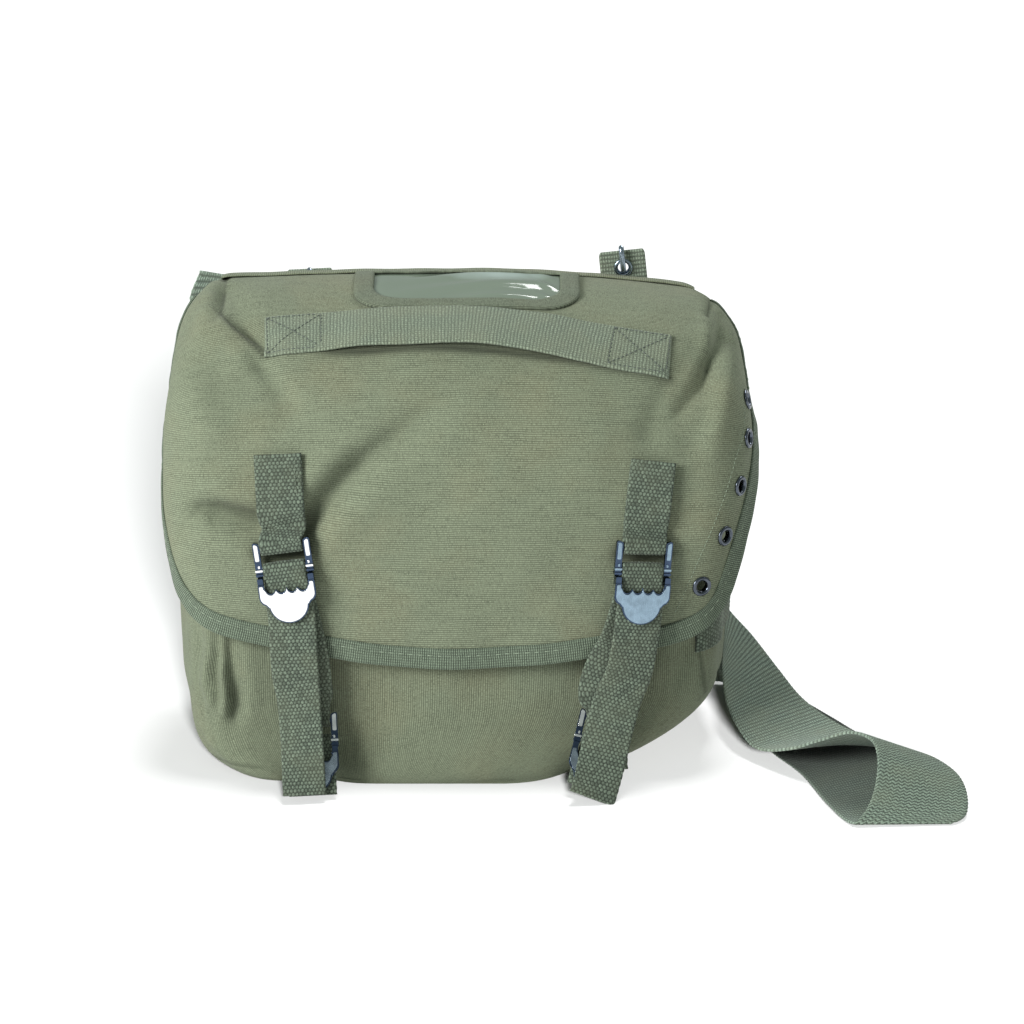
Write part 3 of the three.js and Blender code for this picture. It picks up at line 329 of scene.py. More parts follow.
# ---------------------------------------------------------------- lines and bands
def smooth_line(points, count=None, pitch=None, raw=False):
    """Evenly spaced points on a smooth curve through the given ones."""
    p = np.asarray(points, float)
    n, out = len(p), []
    u = np.linspace(0, 1, 24, endpoint=False)[:, None]
    for i in range(n - 1):
        p1, p2 = p[i], p[i + 1]
        p0 = p[i - 1] if i else 2 * p[0] - p[1]
        p3 = p[i + 2] if i + 2 < n else 2 * p[-1] - p[-2]
        d0, d1, d2 = [max(np.linalg.norm(b - a) ** 0.5, 1e-4) for a, b in ((p0, p1), (p1, p2), (p2, p3))]
        t1 = ((p1 - p0) / d0 - (p2 - p0) / (d0 + d1) + (p2 - p1) / d1) * d1
        t2 = ((p2 - p1) / d1 - (p3 - p1) / (d1 + d2) + (p3 - p2) / d2) * d1
        out.append(p1 + t1 * u + (-3 * p1 + 3 * p2 - 2 * t1 - t2) * u ** 2 + (2 * p1 - 2 * p2 + t1 + t2) * u ** 3)
    line = np.concatenate([*out, p[-1:]])
    s = np.concatenate([[0], np.cumsum(np.linalg.norm(np.diff(line, axis=0), axis=1))])
    if count is None:
        count = int(math.ceil(s[-1] / pitch))
    at = np.linspace(0, s[-1], count + 1)
    return np.stack([np.interp(at, s, line[:, c]) for c in range(line.shape[1])], -1), at


KNOT_WIDE, KNOT_ROW = 2.2, 1.9


def knots(x, y):
    """Height, 0 to 1, of a webbing's knots, laid like bricks."""
    row = np.floor(y / KNOT_ROW)
    dx = x / KNOT_WIDE + 0.5 * (row % 2)
    dx = dx - np.round(dx)
    dy = y / KNOT_ROW - row - 0.5
    return np.maximum(0, 1 - (2 * dx / 1.05) ** 2 - (2 * dy / 1.25) ** 2) ** 0.75


def band_frame(line, hint):
    """Across and out directions along a line."""
    along = unit(np.gradient(line, axis=0))
    h = np.broadcast_to(hint, line.shape)
    across = unit(h - along * (h * along).sum(-1, keepdims=True))
    out = unit(np.cross(along, across))
    for i in range(1, len(out)):
        if out[i] @ out[i - 1] < -0.2:
            out[i] = -out[i]
    return across, out


def webbing(points, hint, width=WEB_WIDTH, thick=WEB, relief=0.4, cup=0.0, wobble=0.12, squeeze=None):
    """A woven band along a middle line, its knots raised on both faces and its edges rounded."""
    line, at = smooth_line(points, pitch=KNOT_ROW / 3.5)
    k = np.linspace(0, 1, len(line))
    across, out = band_frame(line, hint(k) if callable(hint) else hint)
    half = width / 2
    cols = int(round(width / (KNOT_WIDE / 4)))
    s = np.linspace(-half, half, cols + 1)
    edge = np.clip((half - np.abs(s)) / 1.1, 0, 1)
    body = np.sqrt(np.clip(1 - (1 - edge) ** 2, 0.0, 1))
    h = knots(s[None, :], at[:, None]) * relief * (0.35 + 0.65 * edge)[None, :]
    core = (thick / 2 - relief * 0.55) * (0.25 + 0.75 * body)[None, :]
    side = wobble * np.sin(at * np.pi / KNOT_ROW)[:, None] * np.sign(s)[None, :] * (1 - edge)[None, :]
    narrow = np.ones(len(line)) if squeeze is None else squeeze(line)
    mid = line[:, None, :] + across[:, None, :] * (s[None, :] * narrow[:, None] + side)[..., None]
    lift = cup * ((s / half) ** 2 - 0.4)[None, :, None] * out[:, None, :]
    outer = mid + lift + out[:, None, :] * (core + h)[..., None]
    inner = mid + lift - out[:, None, :] * (core + h)[..., None]
    for face in (outer, inner):
        face[..., 2] = np.maximum(face[..., 2], 0.1)
    uv = np.stack(np.broadcast_arrays(s[None, :], at[:, None]), -1)
    return sheet_solid(outer, inner, uv)


def thread(points, normals, pitch=3.2, share=0.72, radius=0.28, sides=5, rings=4, offset=0.0, sink=0.1):
    """A row of stitches along a line on a surface: short rounded lengths of thread."""
    p = np.asarray(points, float)
    s = np.concatenate([[0], np.cumsum(np.linalg.norm(np.diff(p, axis=0), axis=1))])
    parts = []
    n = int((s[-1] - offset) / pitch)
    for i in range(n):
        a = offset + i * pitch
        at = np.linspace(a, a + pitch * share, rings + 1)
        c = np.stack([np.interp(at, s, p[:, k]) for k in range(3)], -1)
        up = unit(np.stack([np.interp(at, s, normals[:, k]) for k in range(3)], -1))
        along = unit(np.gradient(c, axis=0))
        side = unit(np.cross(up, along))
        bow = np.sin(np.linspace(0, np.pi, rings + 1))
        r = radius * (0.45 + 0.55 * bow ** 0.5)
        c = c + up * ((bow - 0.6) * radius * 1.1 - sink)[:, None]
        ang = np.linspace(0, 2 * np.pi, sides, endpoint=False)
        ring = c[:, None, :] + side[:, None, :] * (np.cos(ang)[None, :] * r[:, None])[..., None] + up[:, None, :] * (np.sin(ang)[None, :] * r[:, None])[..., None]
        uv = np.stack(np.broadcast_arrays(at[:, None], ang[None, :]), -1)
        parts.append(swept(ring, uv))
    return joined(parts)


def tube(points, radius, sides=12, pitch=0.7, round_ends=True):
    """A wire along a smooth line, with round ends."""
    line, at = smooth_line(points, pitch=pitch)
    r = np.full(len(line), float(radius))
    if round_ends:
        e = np.minimum(at, at[-1] - at)
        r = radius * np.sqrt(np.clip(1 - (1 - np.clip(e / radius, 0, 1)) ** 2, 0.02, 1))
    along = unit(np.gradient(line, axis=0))
    side = np.zeros_like(line)
    ref = np.array([1.0, 0, 0]) if abs(along[0][0]) < 0.8 else np.array([0, 1.0, 0])
    side[0] = unit(ref - along[0] * (ref @ along[0]))
    for i in range(1, len(line)):
        side[i] = unit(side[i - 1] - along[i] * (side[i - 1] @ along[i]))
    up = np.cross(along, side)
    ang = np.linspace(0, 2 * np.pi, sides, endpoint=False)
    ring = line[:, None, :] + side[:, None, :] * (np.cos(ang)[None, :] * r[:, None])[..., None] + up[:, None, :] * (np.sin(ang)[None, :] * r[:, None])[..., None]
    return swept(ring, np.stack(np.broadcast_arrays(at[:, None], ang[None, :] * radius), -1))


def lathe(profile, origin, axis, segments=40):
    """A closed profile of (radius, height) turned about an axis."""
    axis = unit(np.asarray(axis, float))
    ref = np.array([1.0, 0, 0]) if abs(axis[0]) < 0.8 else np.array([0, 1.0, 0])
    p = unit(np.cross(ref, axis))
    q = np.cross(axis, p)
    ang = np.linspace(0, 2 * np.pi, segments, endpoint=False)
    prof = np.asarray(profile, float)
    ring = origin + (p[None, :] * np.cos(ang)[:, None] + q[None, :] * np.sin(ang)[:, None])[:, None, :] * prof[None, :, 0, None] + axis * prof[None, :, 1, None]
    n = len(prof)
    i, j = np.meshgrid(np.arange(segments), np.arange(n), indexing="ij")
    i2, j2 = (i + 1) % segments, (j + 1) % n
    f = np.stack([i * n + j, i * n + j2, i2 * n + j2, i2 * n + j], -1).reshape(-1, 4)
    v = ring.reshape(-1, 3)
    uv = np.stack(np.broadcast_arrays(ang[:, None] * 4, prof[None, :, 1]), -1).reshape(-1, 2)
    return v, outward(v, f), uv


# ---------------------------------------------------------------- materials
class Graph:
    def __init__(self, name):
        self.material = bpy.data.materials.new(name)
        self.material.use_nodes = True
        self.tree = self.material.node_tree
        self.tree.nodes.clear()
        self.out = self.tree.nodes.new("ShaderNodeOutputMaterial")
        self.bsdf = self.tree.nodes.new("ShaderNodeBsdfPrincipled")
        self.tree.links.new(self.bsdf.outputs[0], self.out.inputs[0])

    def put(self, socket, value):
        if isinstance(value, bpy.types.NodeSocket):
            self.tree.links.new(value, socket)
        elif isinstance(value, (tuple, list)) and len(value) == 3 and socket.type == "RGBA":
            socket.default_value = (*value, 1)
        else:
            socket.default_value = value

    def math(self, op, a, b=None, c=None, clamp=False):
        n = self.tree.nodes.new("ShaderNodeMath")
        n.operation = op
        n.use_clamp = clamp
        for socket, value in zip(n.inputs, (a, b, c)):
            if value is not None:
                self.put(socket, value)
        return n.outputs[0]

    def cloth(self):
        n = self.tree.nodes.new("ShaderNodeUVMap")
        n.uv_map = "Cloth"
        s = self.tree.nodes.new("ShaderNodeSeparateXYZ")
        self.put(s.inputs[0], n.outputs[0])
        return n.outputs[0], self.math("MULTIPLY", s.outputs[0], 1000.0), self.math("MULTIPLY", s.outputs[1], 1000.0)

    def place(self):
        return self.tree.nodes.new("ShaderNodeTexCoord").outputs["Object"]

    def scaled(self, vector, scale):
        n = self.tree.nodes.new("ShaderNodeMapping")
        self.put(n.inputs["Vector"], vector)
        n.inputs["Scale"].default_value = scale
        return n.outputs[0]

    def noise(self, vector, scale, detail=2.0, rough=0.5):
        n = self.tree.nodes.new("ShaderNodeTexNoise")
        self.put(n.inputs["Vector"], vector)
        n.inputs["Scale"].default_value = scale
        n.inputs["Detail"].default_value = detail
        n.inputs["Roughness"].default_value = rough
        return n.outputs[0]

    def blend(self, k, a, b, kind="MIX"):
        n = self.tree.nodes.new("ShaderNodeMix")
        n.data_type = "RGBA"
        n.blend_type = kind
        self.put(n.inputs[0], k)
        self.put(n.inputs[6], a)
        self.put(n.inputs[7], b)
        return n.outputs[2]

    def bump(self, height, distance, strength=1.0):
        n = self.tree.nodes.new("ShaderNodeBump")
        n.inputs["Strength"].default_value = strength
        n.inputs["Distance"].default_value = distance
        self.put(n.inputs["Height"], height)
        return n.outputs[0]

    def set(self, **values):
        for name, value in values.items():
            self.put(self.bsdf.inputs[name.replace("_", " ")], value)


def wave(g, x, pitch, shift=None):
    a = g.math("MULTIPLY", x, 2 * math.pi / pitch)
    if shift is not None:
        a = g.math("ADD", a, shift)
    return g.math("MULTIPLY_ADD", g.math("SINE", a), 0.5, 0.5)


def spread(g, value, low, high):
    n = g.tree.nodes.new("ShaderNodeMapRange")
    g.put(n.inputs[0], value)
    n.inputs[1].default_value, n.inputs[2].default_value = low, high
    return n.outputs[0]


def canvas(name, tone, rib=1.18):
    """Cotton duck: fine ribs of uneven dashes, thick and thin threads, slow mottling, and painted shade darkening it in
    tight folds.
    """
    g = Graph(name)
    uv, u, v = g.cloth()
    bend = g.math("MULTIPLY", g.math("SUBTRACT", g.noise(g.scaled(uv, (40, 40, 1)), 1.0, 2.0), 0.5), 1.6)
    at_row = g.math("DIVIDE", g.math("ADD", v, bend), rib)
    row = g.math("FLOOR", at_row)
    across = g.math("SUBTRACT", g.math("MULTIPLY", g.math("SUBTRACT", at_row, row), 2.0), 1.0)
    hump = g.math("SUBTRACT", 1.0, g.math("POWER", g.math("ABSOLUTE", across), 2.0))
    spot = g.tree.nodes.new("ShaderNodeCombineXYZ")
    g.put(spot.inputs[0], g.math("MULTIPLY", u, 1.7))
    g.put(spot.inputs[1], g.math("MULTIPLY", row, 5.37))
    dash = spread(g, g.noise(spot.outputs[0], 1.0, 1.0), 0.3, 0.7)
    grain = g.noise(g.scaled(uv, (900, 1100, 1)), 1.0, 1.5)
    slub = g.noise(g.scaled(uv, (60, 300, 1)), 1.0, 2.0)
    height = g.math("MULTIPLY", hump, g.math("MULTIPLY_ADD", dash, 0.65, 0.35))
    patch = g.noise(g.place(), 26.0, 3.0)
    cloud = g.noise(g.place(), 11.0, 2.0)
    dark, light = [tuple(c * k for c in tone) for k in (0.36, 1.75)]
    brown = (tone[0] * 1.10, tone[1] * 0.985, tone[2] * 0.93)
    base = g.blend(g.math("MULTIPLY", spread(g, patch, 0.45, 0.7), 0.8), tone, brown)
    base = g.blend(g.math("MULTIPLY", spread(g, cloud, 0.35, 0.7), 0.3), base, tuple(c * 1.15 for c in tone))
    base = g.blend(g.math("MULTIPLY", spread(g, g.math("ADD", g.math("MULTIPLY", height, 0.7), g.math("MULTIPLY", slub, 0.35)), 0.55, 0.12), 0.9), base, dark)
    base = g.blend(g.math("MULTIPLY", spread(g, g.math("ADD", g.math("MULTIPLY", height, 0.5), g.math("MULTIPLY", grain, 0.7)), 0.55, 1.0), 0.8), base, light)
    # painted shade: the colour goes towards a quarter of the tone where the attribute marks folds, overlaps and gaps
    painted_shade = g.tree.nodes.new("ShaderNodeAttribute")
    painted_shade.attribute_name = "painted_shade"
    base = g.blend(painted_shade.outputs["Fac"], base, tuple(c * 0.25 for c in tone))
    g.set(Base_Color=base, Roughness=0.94, Specular_IOR_Level=0.15, Sheen_Weight=0.06, Sheen_Roughness=0.5, Normal=g.bump(g.math("ADD", height, g.math("MULTIPLY", g.math("ADD", slub, grain), 0.4)), 0.0003, 0.6))
    return g.material


def woven(name, tone, px=2.3, py=2.9, kind="knots", low=0.28, stagger=False):
    """Webbing: its knots or ribs, with painted shade between them and painted highlights on their tops, and the twist
    of their threads.
    """
    g = Graph(name)
    uv, u, v = g.cloth()
    wander = g.math("MULTIPLY", g.math("SUBTRACT", g.noise(g.scaled(uv, (260, 260, 1)), 1.0, 2.0), 0.5), 1.2)
    u, v = g.math("ADD", u, wander), g.math("SUBTRACT", v, g.math("MULTIPLY", wander, 0.8))
    if kind == "knots":
        at_row = g.math("DIVIDE", v, KNOT_ROW)
        row = g.math("FLOOR", at_row)
        dx = g.math("ADD", g.math("DIVIDE", u, KNOT_WIDE), g.math("MULTIPLY", g.math("FLOORED_MODULO", row, 2.0), 0.5))
        cell = g.tree.nodes.new("ShaderNodeCombineXYZ")
        g.put(cell.inputs[0], g.math("MULTIPLY", g.math("ROUND", dx), 2.73))
        g.put(cell.inputs[1], g.math("MULTIPLY", row, 3.31))
        each = g.noise(cell.outputs[0], 1.0, 0.0)
        dx = g.math("SUBTRACT", dx, g.math("ROUND", dx))
        dy = g.math("SUBTRACT", g.math("SUBTRACT", at_row, row), 0.5)
        far = g.math("ADD", g.math("POWER", g.math("MULTIPLY", g.math("ABSOLUTE", dx), 2.0), 2.0), g.math("POWER", g.math("MULTIPLY", g.math("ABSOLUTE", dy), 2.0 / 1.2), 2.0))
        knot = g.math("POWER", g.math("MAXIMUM", g.math("SUBTRACT", 1.0, far), 0.0), 0.85)
        knot = g.math("MULTIPLY", knot, g.math("MULTIPLY_ADD", spread(g, each, 0.3, 0.7), 0.6, 0.5))
    elif kind == "ribs":
        row = g.math("FLOOR", g.math("DIVIDE", u, px))
        shift = g.math("MULTIPLY", row, math.pi * 0.9)
        knot = g.math("MULTIPLY", g.math("POWER", wave(g, v, py, shift if stagger else None), 0.6), g.math("MULTIPLY_ADD", wave(g, u, px), 0.72, 0.28))
    else:  # zigzag lines across
        lean = g.math("MULTIPLY", g.math("PINGPONG", u, px / 2), 0.75)
        knot = g.math("POWER", wave(g, g.math("ADD", v, lean), py), 0.7)
        knot = g.math("MULTIPLY", knot, g.math("MULTIPLY_ADD", wave(g, u, px / 4), 0.4, 0.6))
    yarn = g.noise(g.scaled(uv, (900, 900, 1)), 1.0, 2.0)
    patch = g.noise(g.place(), 60.0, 2.0)
    dark, mid, light = [tuple(c * k for c in tone) for k in (low, 1.0, 1.7)]
    # painted shade in the hollows between knots or ribs, and painted highlights on their tops mixed with the yarn's
    # speckle
    base = g.blend(spread(g, knot, 0.0, 0.75), dark, mid)
    base = g.blend(g.math("MULTIPLY", spread(g, g.math("ADD", g.math("MULTIPLY", knot, 0.5), yarn), 0.7, 1.25), 0.9), base, light)
    base = g.blend(g.math("MULTIPLY", spread(g, patch, 0.4, 0.7), 0.25), base, (tone[0] * 1.15, tone[1] * 0.98, tone[2] * 0.85))
    # painted shade: the colour goes towards a dark tone where the attribute marks shade
    painted_shade = g.tree.nodes.new("ShaderNodeAttribute")
    painted_shade.attribute_name = "painted_shade"
    base = g.blend(painted_shade.outputs["Fac"], base, tuple(c * 0.12 for c in tone))
    fuzz = g.noise(g.scaled(uv, (1500, 1100, 1)), 1.0, 2.0)
    base = g.blend(g.math("MULTIPLY", spread(g, fuzz, 0.52, 0.36), 0.55), base, tuple(c * 0.3 for c in tone))
    height = g.math("ADD", g.math("MULTIPLY", yarn, 0.5), 0.0 if kind == "knots" else knot)
    g.set(Base_Color=base, Roughness=0.9, Specular_IOR_Level=0.22, Sheen_Weight=0.1, Sheen_Roughness=0.5, Normal=g.bump(height, 0.00025 if kind == "knots" else 0.0005, 0.6))
    return g.material


def tape_cloth(name, tone):
    """Binding tape: a grid of fine cross ribs and lengthwise threads."""
    g = Graph(name)
    uv, u, v = g.cloth()  # u across, v along
    bend = g.math("MULTIPLY", g.math("SUBTRACT", g.noise(g.scaled(uv, (150, 60, 1)), 1.0, 2.0), 0.5), 1.2)
    ribs = g.math("POWER", wave(g, g.math("ADD", v, bend), 1.2), 0.8)
    lines = wave(g, u, 1.5)
    grain = g.noise(g.scaled(uv, (1000, 900, 1)), 1.0, 2.0)
    slub = g.noise(g.scaled(uv, (300, 200, 1)), 1.0, 2.0)
    h = g.math("MULTIPLY", ribs, g.math("MULTIPLY_ADD", lines, 0.6, 0.4))
    dark, light = [tuple(c * k for c in tone) for k in (0.26, 2.2)]
    base = g.blend(g.math("MULTIPLY", spread(g, g.math("ADD", h, g.math("MULTIPLY", g.math("SUBTRACT", slub, 0.5), 0.5)), 0.5, 0.02), 0.9), tone, dark)
    base = g.blend(g.math("MULTIPLY", spread(g, g.math("ADD", g.math("MULTIPLY", h, 0.4), g.math("MULTIPLY", grain, 0.7)), 0.5, 0.95), 0.85), base, light)
    g.set(Base_Color=base, Roughness=0.9, Specular_IOR_Level=0.2, Sheen_Weight=0.06, Sheen_Roughness=0.5, Normal=g.bump(g.math("ADD", h, g.math("MULTIPLY", grain, 0.6)), 0.0004, 0.7))
    return g.material


def yarn(name, tone):
    g = Graph(name)
    uv, u, v = g.cloth()
    twist = wave(g, g.math("ADD", u, v), 0.5)
    fuzz = g.noise(g.place(), 3000.0, 2.0)
    base = g.blend(twist, tuple(c * 0.7 for c in tone), tuple(c * 1.15 for c in tone))
    base = g.blend(g.math("MULTIPLY", fuzz, 0.4), base, tuple(c * 1.3 for c in tone))
    g.set(Base_Color=base, Roughness=0.8, Specular_IOR_Level=0.3, Normal=g.bump(twist, 0.00008, 0.6))
    return g.material


def metal(name, tone, rough, fine=1.0):
    """Blackened or plated steel: wear on the tone, fine scratches, uneven polish."""
    g = Graph(name)
    at = g.place()
    cloud = g.noise(at, 260.0, 3.0)
    scratch = g.noise(g.scaled(at, (2600, 2600, 320)), 1.0, 2.0)
    base = g.blend(spread(g, cloud, 0.35, 0.7), tuple(c * 0.82 for c in tone), tuple(min(1, c * 1.12) for c in tone))
    polish = g.math("ADD", rough, g.math("MULTIPLY", g.math("SUBTRACT", scratch, 0.5), 0.22 * fine), clamp=True)
    g.set(Base_Color=base, Metallic=1.0, Roughness=polish, Normal=g.bump(g.math("ADD", scratch, g.math("MULTIPLY", cloud, 0.8)), 0.00006 * fine, 0.5))
    return g.material


# ---------------------------------------------------------------- the flap's cloth
def crease(points, a, b, near, far, deep):
    """Depth of a crease along a line of (a, b, strength); near and far are its half widths on its left and right."""
    best = np.full(np.broadcast(a, b).shape, 1e9)
    push = np.zeros_like(best)
    for (a0, b0, s0), (a1, b1, s1) in zip(points[:-1], points[1:]):
        dx, dy = a1 - a0, b1 - b0
        k = np.clip(((a - a0) * dx + (b - b0) * dy) / (dx * dx + dy * dy), 0, 1)
        ex, ey = a - a0 - dx * k, b - b0 - dy * k
        d = np.hypot(ex, ey)
        wide = np.where(dx * ey - dy * ex > 0, far, near)
        here = mix(s0, s1, k) * np.exp(-((d / wide) ** 2))
        push = np.where(d < best, here, push)
        best = np.minimum(best, d)
    return push * deep


CREASES = [
    # left corner: dart, pleat running in from it, and the soft valleys below
    ([(-131.5, 4, 1), (-132, 40, 1), (-133, 62, 0.8)], 1.6, 5.0, -2.0),
    ([(-138, 8, 0.6), (-139, 40, 1), (-141, 64, 0.6), (-145, 90, 0)], 5.0, 5.0, 1.8),
    ([(-134, 58, 0.5), (-128, 70, 1), (-118, 82, 1), (-108, 93, 0.8), (-104, 98, 0)], 1.6, 12, 3.4),
    ([(-128, 64, 0.6), (-115, 77, 1), (-104, 90, 0.6), (-98, 96, 0)], 6, 3.0, -2.6),
    ([(-110, 98, 1), (-97, 117, 0.8), (-86, 134, 0)], 6, 6, -2.0),
    ([(-120, 92, 0.8), (-112, 108, 1), (-104, 126, 0.4), (-98, 140, 0)], 6, 6, 1.8),
    ([(-150, 80, 0), (-138, 98, 0.8), (-124, 120, 0.8), (-112, 146, 0)], 9, 9, -1.8),
    ([(-154, 100, 0), (-146, 118, 0.8), (-134, 140, 0.5), (-124, 158, 0)], 8, 8, 1.4),
    ([(-70, 100, 0), (-82, 120, 0.8), (-96, 142, 0)], 10, 10, -1.4),
    # beside the left front strap
    ([(-152, 194, 0.2), (-143, 183, 0.8), (-132, 182.5, 1), (-113, 187, 1)], 4.5, 11, -6.0),
    ([(-148, 166, 0), (-130, 170, 1), (-113, 174, 0.6)], 9, 7, 2.8),
    ([(-140, 200, 0), (-128, 203, 1), (-113, 207, 0.6)], 8, 8, 1.8),
    ([(-88, 192, 1), (-78, 178, 1), (-64, 162, 1), (-46, 148, 0.9), (-24, 132, 0.55), (-2, 118, 0)], 6.5, 11, -5.8),
    ([(-82, 204, 0.5), (-68, 190, 1), (-50, 175, 0.8), (-28, 162, 0)], 9, 9, 2.4),
    ([(-86, 168, 0.6), (-74, 156, 1), (-60, 146, 0.6), (-40, 134, 0)], 8, 7, 1.8),
    # right corner: dart and the valleys that fan down from it
    ([(133, 18, 0.6), (132, 36, 1), (130, 54, 0.6)], 3.0, 1.5, -2.0),
    ([(126, 80, 0.5), (116, 96, 1), (106, 110, 1), (97, 124, 0.8), (95, 140, 0.3), (98, 156, 0)], 10, 9, -1.2),
    ([(139, 44, 0.6), (137, 70, 1), (135, 87, 1), (128, 108, 1), (114, 129, 0.7), (98, 142, 0)], 5, 4.5, -3.2),
    ([(134, 96, 0.6), (132, 112, 1), (130, 124, 1), (124, 143, 0.7), (114, 160, 0)], 4.5, 6, -2.6),
    ([(131, 62, 0.4), (128, 84, 1), (119, 104, 1), (108, 122, 0.8), (104, 140, 0)], 4.5, 4.5, 2.0),
    ([(146, 60, 0.3), (144, 90, 0.8), (138, 120, 0.8), (132, 150, 0.5), (126, 176, 0)], 6, 6, 1.6),
    ([(86, 108, 0), (82, 130, 0.8), (80, 160, 0.6), (80, 190, 0)], 9, 9, -1.4),
    # lower edge: slow waves above the binding
    ([(-60, 262, 0.6), (-52, 236, 0.5), (-48, 205, 0)], 14, 14, 1.4),
    ([(18, 266, 0.7), (14, 240, 0.5), (8, 210, 0)], 18, 18, -1.3),
]
# painted shade along lines where the cloth meets itself, under the handle's lower edge and in the gaps between the
# buckles' loops: a line, its half width and how dark it gets
FLAP_SHADE_LINES = [
    ([(-131.2, 6, 0.6), (-132, 40, 1), (-132.6, 60, 1)], 1.3, 0.75),
    ([(-132.6, 60, 0.7), (-126, 72, 1), (-117, 83, 1), (-108, 93, 1)], 1.3, 0.8),
    ([(132.5, 22, 0.6), (132, 36, 1), (130, 54, 0.8)], 1.2, 0.7),
    ([(-84, 94.4, 0), (-72, 94.2, 0.8), (-56, 94.4, 1), (-30, 93.3, 0.9), (-6, 93.2, 1), (14, 94.6, 1), (44, 98.4, 0.9), (66, 102, 0.7), (84, 105.2, 0.6), (109, 108.2, 0.6)], 2.7, 0.95),
    ([(-142, 183, 0.3), (-128, 184, 0.8), (-113, 188, 1)], 5.0, 0.55),
    ([(-110, 206, 1), (-86, 206, 1)], 5.0, 1.0), ([(82, 206, 1), (106, 206, 1)], 5.0, 1.0),
    ([(-90, 196, 1), (-76, 176, 0.8), (-62, 161, 0.6), (-40, 143, 0.3), (-26, 133, 0)], 6.0, 0.45),
]


# darkness of the painted shade at each point of the flat cloth
def flap_painted_shade(uv):
    dark = np.zeros(len(uv))
    for points, wide, k in FLAP_SHADE_LINES:
        dark = np.maximum(dark, crease(points, uv[:, 0], uv[:, 1], wide, wide, k))
    return dark


def flap_folds(t, v):
    push = folded(FLAP_FOLDS[:-1], t, v)
    for points, near, far, deep in CREASES:
        push = push + crease(points, t, v, near, far, deep)
    slow = 0.5 * np.sin(t / 19 + v / 31) + 0.4 * np.sin(t / 11.3 - v / 23 + 1.7) + 0.28 * np.sin(t / 7.1 + v / 9.7 + 0.6)
    return push + slow * step(0, 40, v) * 0.6


def flap_point(t, v):
    return flap_form(t, v) + normal_of(flap_form, t, v, 0.6, -1) * flap_folds(t, v)[..., None]


def flap_out(t, v):
    return normal_of(flap_point, t, v, 0.8, -1)


def on_flap(t, v, n):
    t, v = np.asarray(t, float), np.asarray(v, float)
    return flap_point(t, v) + flap_out(t, v) * np.asarray(n, float)[..., None]


def flap_flat(i, j):
    """The flat cloth between its four edges: i across, j from the seam to the lower edge."""
    lv, lt, rv, rt = FLAP_LEFT[-1][0], FLAP_LEFT[-1][1], FLAP_RIGHT[-1][0], FLAP_RIGHT[-1][1]
    ft = mix(lt, rt, i)
    t = (1 - j) * mix(FLAP_LEFT[0][1], FLAP_RIGHT[0][1], i) + j * ft + (1 - i) * read(FLAP_LEFT[:, 0], FLAP_LEFT[:, 1], lv * j) + i * read(FLAP_RIGHT[:, 0], FLAP_RIGHT[:, 1], rv * j)
    t = t - ((1 - i) * (1 - j) * FLAP_LEFT[0][1] + i * (1 - j) * FLAP_RIGHT[0][1] + (1 - i) * j * lt + i * j * rt)
    v = j * read(FLAP_FOOT[:, 0], FLAP_FOOT[:, 1], ft) + (1 - i) * lv * j + i * rv * j - ((1 - i) * j * lv + i * j * rv)
    return t, v


def crowded(count, crowd):
    u = np.linspace(0, 1, count + 1)
    return u - crowd * np.sin(2 * np.pi * u) / (2 * np.pi)


EYELETS = [(158.5, 111.5), (158, 141), (150.3, 171.5), (140, 199.5), (125.8, 226.5)]


def make_flap():
    i, j = np.meshgrid(crowded(194, 0.35), crowded(152, 0.2))
    t, v = flap_flat(i, j)
    hole = 4.1
    ct = (t[:-1, :-1] + t[1:, 1:]) / 2
    cv = (v[:-1, :-1] + v[1:, 1:]) / 2
    gone = np.zeros(ct.shape, bool)
    for et, ev in EYELETS:
        gone |= np.hypot(ct - et, cv - ev) < hole - 0.6
    for et, ev in EYELETS:  # the cloth round each hole drawn to its circle
        r = np.hypot(t - et, v - ev)
        near = np.zeros(t.shape, bool)
        g = np.hypot(ct - et, cv - ev) < hole - 0.6
        for a, b in ((0, 0), (0, 1), (1, 0), (1, 1)):
            near[a:a + g.shape[0], b:b + g.shape[1]] |= g
        k = np.where(near & (r > 0.1), hole / np.maximum(r, 0.1), 1.0)
        t, v = et + (t - et) * k, ev + (v - ev) * k
    p, n = flap_point(t, v), flap_out(t, v)
    half = CANVAS / 2
    return sheet_solid(p + n * half, p - n * half, np.stack([t, v], -1), gone)


